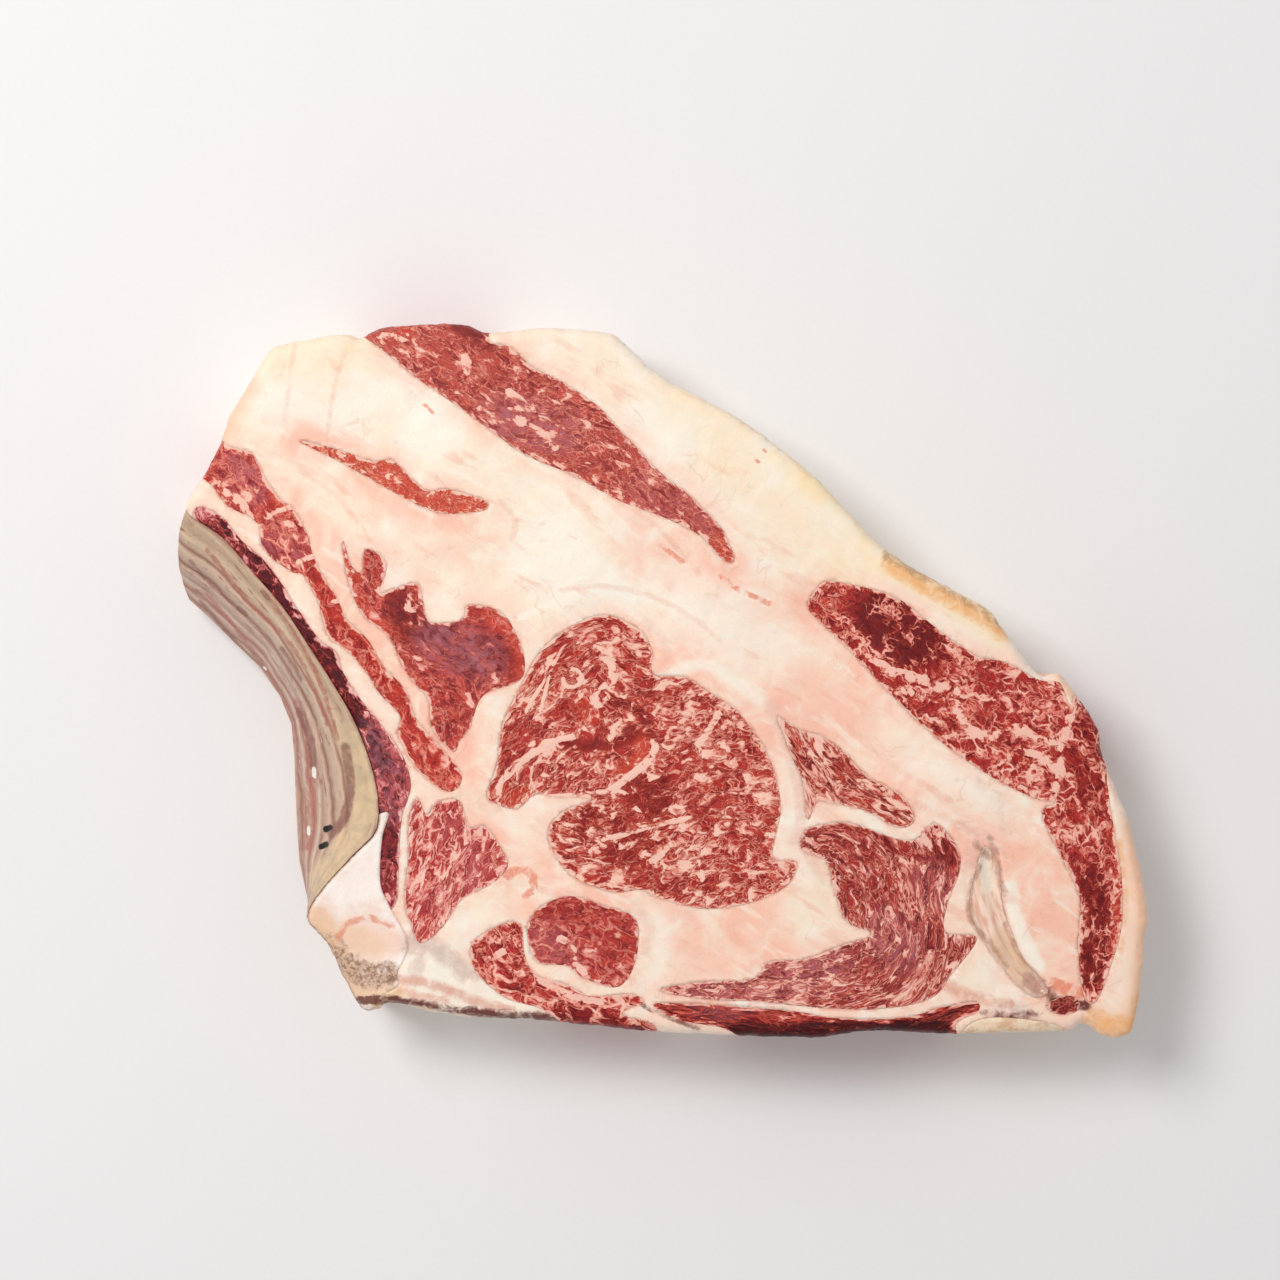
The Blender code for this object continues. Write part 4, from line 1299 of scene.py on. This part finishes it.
# The rib's bands: how far down its side each lies, and its colour.
RIB_BANDS = [
    (0.00, (170, 128, 108)), (0.04, (206, 176, 148)), (0.14, (190, 160, 134)), (0.22, (220, 192, 162)),
    (0.31, (202, 170, 146)), (0.35, (160, 112, 94)), (0.39, (216, 186, 162)), (0.49, (196, 166, 146)),
    (0.53, (150, 100, 84)), (0.58, (212, 182, 162)), (0.67, (180, 144, 126)), (0.71, (218, 190, 170)),
    (0.79, (168, 112, 96)), (0.84, (214, 184, 166)), (0.93, (160, 106, 92)), (1.00, (206, 172, 150)),
]


def rib_bands(look, down, run):
    """Colour the rib's bands, from its rim down to its low edge."""
    drift = look.noise(look.vector(look.times(run, 0.05), look.times(down, 2.0), 0.0), 1.0, 3.0, 0.6)
    ramp = look.nodes.new("ShaderNodeValToRGB")
    look.feed(ramp.inputs[0], look.grow(look.centred(drift), 0.16, down))
    stops = ramp.color_ramp.elements
    stops[0].position = RIB_BANDS[0][0]
    stops[1].position = RIB_BANDS[-1][0]
    for position, _ in RIB_BANDS[1:-1]:
        stops.new(position)
    for stop, (_, colour) in zip(stops, RIB_BANDS):
        stop.color = (*tone(*colour), 1.0)
    return ramp.outputs["Color"]


def rib_material():
    """Make the rib's finish: a damp membrane with long ridges, brown-pink lines and painted shade for its
    pits.
    """
    look = Finish("rib_membrane")
    run, down = look.read("run"), look.read("down")
    base = rib_bands(look, down, run)
    streak = look.noise(look.vector(look.times(run, 0.07), look.times(down, 14.0), 2.0), 1.6, 5.0, 0.65, 0.4)
    ragged = look.noise(look.spot, 420.0, 4.0, 0.65, 0.3)
    fine = look.noise(look.spot, 900.0, 3.0, 0.6)
    base = look.tint(base, look.ease(streak, 0.56, 0.68), 0.8, tone(148, 92, 78))
    base = look.tint(base, look.ease(streak, 0.44, 0.32), 0.7, tone(226, 204, 180))
    base = look.tint(base, look.ease(ragged, 0.52, 0.72), 0.3, tone(150, 112, 94))
    mottle = look.noise(look.spot, 160.0, 4.0, 0.6, 0.4)
    gristle = look.blend(look.ease(mottle, 0.40, 0.60), tone(228, 198, 158), tone(206, 182, 148))
    base = look.lay(base, ragged, [
        ("olive", 2.0, 0.6, 0.85, gristle),
        ("rose", 3.0, 0.6, 0.75, tone(178, 104, 90)),
        ("brown", 2.0, 0.7, 0.8, tone(134, 82, 70)),
        ("chalk", 0.8, 0.25, 1.0, tone(246, 238, 230)),
        # Painted shade in the rib's pits.
        ("painted_pit_shade", 0.8, 0.25, 1.0, tone(22, 10, 9)),
    ])
    pores = look.noise(look.spot, 800.0, 3.0, 0.7)
    marrow = look.blend(look.ease(pores, 0.40, 0.60), tone(160, 104, 86), tone(222, 190, 164))
    base = look.blend(look.ease(look.read("sawn"), 0.3, 0.7), base, marrow)
    normal = look.bump(streak, 0.6 * MM, 0.7)
    normal = look.bump(ragged, 0.2 * MM, 0.5, normal)
    return look.finish(base, look.grow(fine, 0.3, 0.3), normal, 0.35, 0.1)


def chine_material():
    """Make the backbone's finish: white cartilage above a spongy sawn bone face."""
    look = Finish("backbone_face")
    ragged = look.noise(look.spot, 300.0, 5.0, 0.65, 0.6)
    soft = look.noise(look.spot, 90.0, 3.0, 0.6, 0.5)
    pores = look.noise(look.spot, 1100.0, 3.0, 0.7)
    base = look.blend(look.ease(soft, 0.38, 0.62), tone(255, 240, 232), tone(246, 222, 208))
    base = look.tint(base, look.read("pink"), 0.7, tone(248, 206, 186))
    base = look.tint(base, look.read("yellow"), 0.85, tone(238, 196, 160))
    plain = look.blend(look.ease(soft, 0.36, 0.64), tone(206, 166, 140), tone(236, 208, 182))
    base = look.tint(base, look.ease(look.read("below"), 0.8, 6.0), 0.9, plain)
    bone = look.blend(look.ease(pores, 0.40, 0.60), tone(150, 114, 96), tone(214, 180, 154))
    base = look.lay(base, ragged, [
        ("sponge", 5.0, 0.8, 1.0, bone),
        ("grey", 4.0, 0.6, 0.5, tone(176, 158, 148)),
        ("speck", 5.0, 0.7, 0.75, tone(226, 140, 110)),
    ])
    rim = look.times(look.ease(look.read("rind"), 0.9, 0.15), look.ease(ragged, 0.34, 0.5))
    base = look.tint(base, rim, 0.65, tone(158, 108, 86))
    base = look.lay(base, ragged, [("stain", 2.5, 0.25, 0.9, tone(104, 46, 40))])
    normal = look.bump(ragged, 0.5 * MM, 0.5)
    normal = look.bump(pores, 0.2 * MM, 0.4, normal)
    return look.finish(base, 0.45, normal, 0.3, 0.1)


def tendon_material():
    """Make the tendon's finish: glossy and a little translucent, with long soft lines."""
    look = Finish("tendon_gloss")
    grain = look.stir(look.vector(look.times(look.read("run"), 0.14), look.read("across"), 0.0), 0.6, 0.5)
    line = look.noise(grain, 0.7, 3.0, 0.55)
    ragged = look.noise(look.spot, 420.0, 4.0, 0.65)
    base = look.blend(look.ease(line, 0.36, 0.56), tone(234, 184, 158), tone(252, 222, 202))
    base = look.lay(base, ragged, [
        ("chalk", 2.0, 0.6, 0.9, tone(250, 236, 216)),
        ("olive", 2.0, 0.8, 0.7, tone(228, 186, 148)),
        # Painted shade along the groove beside the tendon.
        ("painted_groove_shade", 2.5, 0.8, 0.6, tone(158, 100, 84)),
    ])
    base = look.tint(base, look.ease(look.read("edge"), 0.8, 0.1), 0.3, tone(190, 140, 118))
    return look.finish(base, 0.24, look.bump(line, 0.4 * MM, 0.6), 0.5, 0.12)


def feather_material():
    """Make the small sawn bone's finish."""
    look = Finish("sawn_bone")
    cells = look.noise(look.spot, 220.0, 5.0, 0.7)
    base = look.blend(look.ease(cells, 0.35, 0.60), tone(226, 184, 150), tone(252, 228, 198))
    return look.finish(base, 0.55, look.bump(cells, 0.2 * MM, 0.4), 0.35, 0.1)


def hand_over(piece, node, material):
    """Let a piece stand for its solid, with its own finish."""
    piece.data.materials.append(material)
    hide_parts(node)
    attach(piece, "root")


def rib_piece():
    """Loft the rib with its ridges, from its lower tip by the backbone up to its sawn end."""
    knots = np.arange(len(RIM))
    spots = np.linspace(0, len(RIM) - 1, RIB_STATIONS)
    inner, low, shift = (follow(spots, knots, table) for table in (RIM, RIB_LOW, RIB_SHIFT))
    along = 1.0 - spots / (len(RIM) - 1)
    run = run_along(inner) / MM
    across = low - inner
    unit = across / np.hypot(across[:, 0], across[:, 1])[:, None]
    start = inner + unit * RIB_GAP
    low = low - unit * RIB_LOW_INSET
    heel = start + shift
    for i in range(1, RIB_STATIONS):
        if (heel[i] - heel[i - 1]) @ (inner[i] - inner[i - 1]) < 0.0:
            heel[i] = heel[i - 1]
    bulge = RIB_END_BULGE * np.clip(1.0 - 3.0 * along, 0.0, 1.0) ** 2 * 4.0
    rim_height = THICKNESS - RIB_RIM_DROP
    rows, downs, shown = [], [], []
    for v in np.linspace(0.0, 1.0, RIB_ROWS):
        flat = start * (1 - v) + low * v
        flat[:, 0] -= bulge * v * (1 - v) * 0.9
        swell = math.sin(math.pi * v)
        ridge = np.sin(v * RIDGE_TURN + 1.4 * np.sin(along * 5.0)) * swell * RIDGE_HEIGHT
        wander = np.array([noise.noise((r * 0.03, v * 9.0, 5.0)) for r in run.tolist()])
        z = rim_height - (rim_height - RIB_LOW_EDGE) * v ** 1.5 + ridge + wander * swell * WANDER_HEIGHT
        rows.append(np.column_stack([flat, z]))
        downs.append(v)
        shown.append(1.0)
    for t in np.arange(1, FOOT_ROWS + 1) / FOOT_ROWS:
        inset = FOOT_INSET * (1.0 - math.cos(t * math.pi / 2))
        rows.append(np.column_stack([low - unit * inset, np.full(RIB_STATIONS, RIB_LOW_EDGE * (1.0 - t))]))
        downs.append(1.0)
        shown.append(1.0 - t)
    for t in HEEL_LEVELS:
        rows.append(np.column_stack([heel * (1 - t) + start * t, np.full(RIB_STATIONS, rim_height * t)]))
        downs.append(0.0)
        shown.append(0.0)
    ring = len(rows)
    rings = np.stack(rows, 1)
    middle = rings[-1].mean(0)
    rings = np.concatenate([rings, middle + (rings[-1:] - middle) * SAWN_INSET])
    faces, soft = [], []
    for i in range(RIB_STATIONS):
        for k in range(ring):
            j = (k + 1) % ring
            faces.append((i * ring + k, (i + 1) * ring + k, (i + 1) * ring + j, i * ring + j))
            soft.append(k != RIB_ROWS + FOOT_ROWS - 1)
    faces.append(tuple(range(ring)))
    faces.append(tuple(RIB_STATIONS * ring + k for k in range(ring))[::-1])
    spots = rings.reshape(-1, 3)
    values = {
        "run": np.repeat([*run, run[-1]], ring),
        "down": np.tile(downs, RIB_STATIONS + 1),
        "sawn": np.repeat([0.0] * RIB_STATIONS + [1.0], ring),
    }
    for name in RIB_MARKS:
        values[name] = mark_values(name, spots[:, :2]) * np.tile(shown, RIB_STATIONS + 1)
    return add_piece("rib_bone_membrane", spots, faces, [*soft, True, True], values)


def add_window(location, size, power, colour):
    """Add a soft square light that faces the steak."""
    light = bpy.data.lights.new("window", "AREA")
    light.shape = "SQUARE"
    light.size = size
    light.energy = power
    light.color = colour
    lamp = add_object("window", light)
    lamp.location = location
    lamp.rotation_euler = (-Vector(location)).to_track_quat("-Z", "Y").to_euler()


class SteakSizes(bpy.types.PropertyGroup):
    """Sizes of the steak's surface and of the picture."""

    net_step: bpy.props.FloatProperty(
        name="Net step", description="Spacing of the points on the cut faces", unit="LENGTH",
        default=0.87 * MM, min=0.4 * MM,
    )
    lens: bpy.props.FloatProperty(
        name="Lens", description="Focal length of the overhead camera", subtype="DISTANCE_CAMERA",
        default=100.0,
    )


class SteakColours(bpy.types.PropertyGroup):
    """Colours of the fat and of the dry rind."""

    fat: bpy.props.FloatVectorProperty(
        name="Fat", description="Colour of plain fat", subtype="COLOR", size=3, default=tone(255, 233, 211),
    )
    bright_fat: bpy.props.FloatVectorProperty(
        name="Bright fat", description="Colour of the whitest fat", subtype="COLOR", size=3,
        default=tone(255, 243, 228),
    )
    pink_fat: bpy.props.FloatVectorProperty(
        name="Pink fat", description="Colour of fat next to the meat", subtype="COLOR", size=3,
        default=tone(255, 198, 176),
    )
    rind: bpy.props.FloatVectorProperty(
        name="Rind", description="Colour of the yellowed outer fat", subtype="COLOR", size=3,
        default=tone(255, 226, 180),
    )
    tan_rind: bpy.props.FloatVectorProperty(
        name="Tan rind", description="Colour of the dried orange rind", subtype="COLOR", size=3,
        default=tone(242, 178, 112),
    )
    crust: bpy.props.FloatVectorProperty(
        name="Crust", description="Colour of the driest crust", subtype="COLOR", size=3,
        default=tone(190, 154, 116),
    )


class STEAK_OT_fat(bpy.types.Operator):
    """Build the body of fat"""

    bl_idname = "steak.fat"
    bl_label = "Build the fat"

    def execute(self, context):
        hand_over(slab_piece("fat_body", FAT), "fat", fat_material())
        return {"FINISHED"}


class STEAK_OT_muscles(bpy.types.Operator):
    """Build every muscle"""

    bl_idname = "steak.muscles"
    bl_label = "Build the muscles"

    def execute(self, context):
        for name in MEATS:
            hand_over(slab_piece(name + "_marbled", PIECES.index(name)), name, meat_material(name))
        return {"FINISHED"}


class STEAK_OT_bones(bpy.types.Operator):
    """Build the rib bone, the backbone piece, the small sawn bone and the tendon"""

    bl_idname = "steak.bones"
    bl_label = "Build the bones"

    def execute(self, context):
        hand_over(rib_piece(), "rib_bone", rib_material())
        makers = {"chine_bone": chine_material, "feather_bone": feather_material, "tendon": tendon_material}
        for name, make in makers.items():
            hand_over(slab_piece(name + "_face", PIECES.index(name)), name, make())
        return {"FINISHED"}


class STEAK_OT_stage(bpy.types.Operator):
    """Build the pale floor, the soft lights and the overhead camera"""

    bl_idname = "steak.stage"
    bl_label = "Build the stage"

    def execute(self, context):
        scene = context.scene
        corners = [(x * FLOOR_HALF, y * FLOOR_HALF, 0) for x, y in ((-1, -1), (1, -1), (1, 1), (-1, 1))]
        floor_mesh = bpy.data.meshes.new("floor")
        floor_mesh.from_pydata(corners, [], [(0, 1, 2, 3)])
        floor = add_object("floor", floor_mesh)
        look = Finish("pale_floor")
        pale = look.blend(look.noise(look.spot, 900.0, 3.0), tone(238, 237, 238), tone(242, 241, 242))
        floor_mesh.materials.append(look.finish(pale, 0.9))
        scene.view_settings.view_transform = "Standard"
        world = bpy.data.worlds.new("soft_room")
        world.use_nodes = True
        room = world.node_tree.nodes["Background"]
        room.inputs["Color"].default_value = (1.0, 1.0, 1.0, 1.0)
        room.inputs["Strength"].default_value = 0.51
        scene.world = world
        add_window((-0.62, 0.52, 1.25), 0.56, 12.4, (1.0, 0.98, 0.96))
        middle = place([(PICTURE_SIZE / 2, PICTURE_SIZE / 2)])[0]
        camera_data = bpy.data.cameras.new("overhead")
        camera_data.lens = scene.steak_sizes.lens
        camera = add_object("overhead", camera_data)
        distance = PICTURE_SIZE * SCALE * camera_data.lens / camera_data.sensor_width
        camera.location = (middle[0], middle[1], THICKNESS + distance)
        scene.camera = camera
        return {"FINISHED"}


class STEAK_PT_panel(bpy.types.Panel):
    """Lists the steak's builders, sizes and colours"""

    bl_idname = "STEAK_PT_panel"
    bl_label = "Steak"
    bl_space_type = "VIEW_3D"
    bl_region_type = "UI"
    bl_category = "Steak"

    def draw(self, context):
        for group in (context.scene.steak_sizes, context.scene.steak_colours):
            for name in group.bl_rna.properties.keys()[2:]:
                self.layout.prop(group, name)
        for builder in BUILDERS:
            self.layout.operator(builder.bl_idname)


BUILDERS = [STEAK_OT_stage, STEAK_OT_fat, STEAK_OT_muscles, STEAK_OT_bones]
CLASSES = [SteakSizes, SteakColours, *BUILDERS, STEAK_PT_panel]


def register():
    """Register the classes and the scene's settings."""
    for item in CLASSES:
        bpy.utils.register_class(item)
    bpy.types.Scene.steak_sizes = bpy.props.PointerProperty(type=SteakSizes)
    bpy.types.Scene.steak_colours = bpy.props.PointerProperty(type=SteakColours)


def unregister():
    """Remove the classes and the scene's settings."""
    del bpy.types.Scene.steak_colours
    del bpy.types.Scene.steak_sizes
    for item in reversed(CLASSES):
        bpy.utils.unregister_class(item)


def main():
    """Register the builders and build the steak on its stage."""
    register()
    bpy.ops.steak.stage()
    bpy.ops.steak.fat()
    bpy.ops.steak.muscles()
    bpy.ops.steak.bones()


if __name__ == "__main__":
    main()
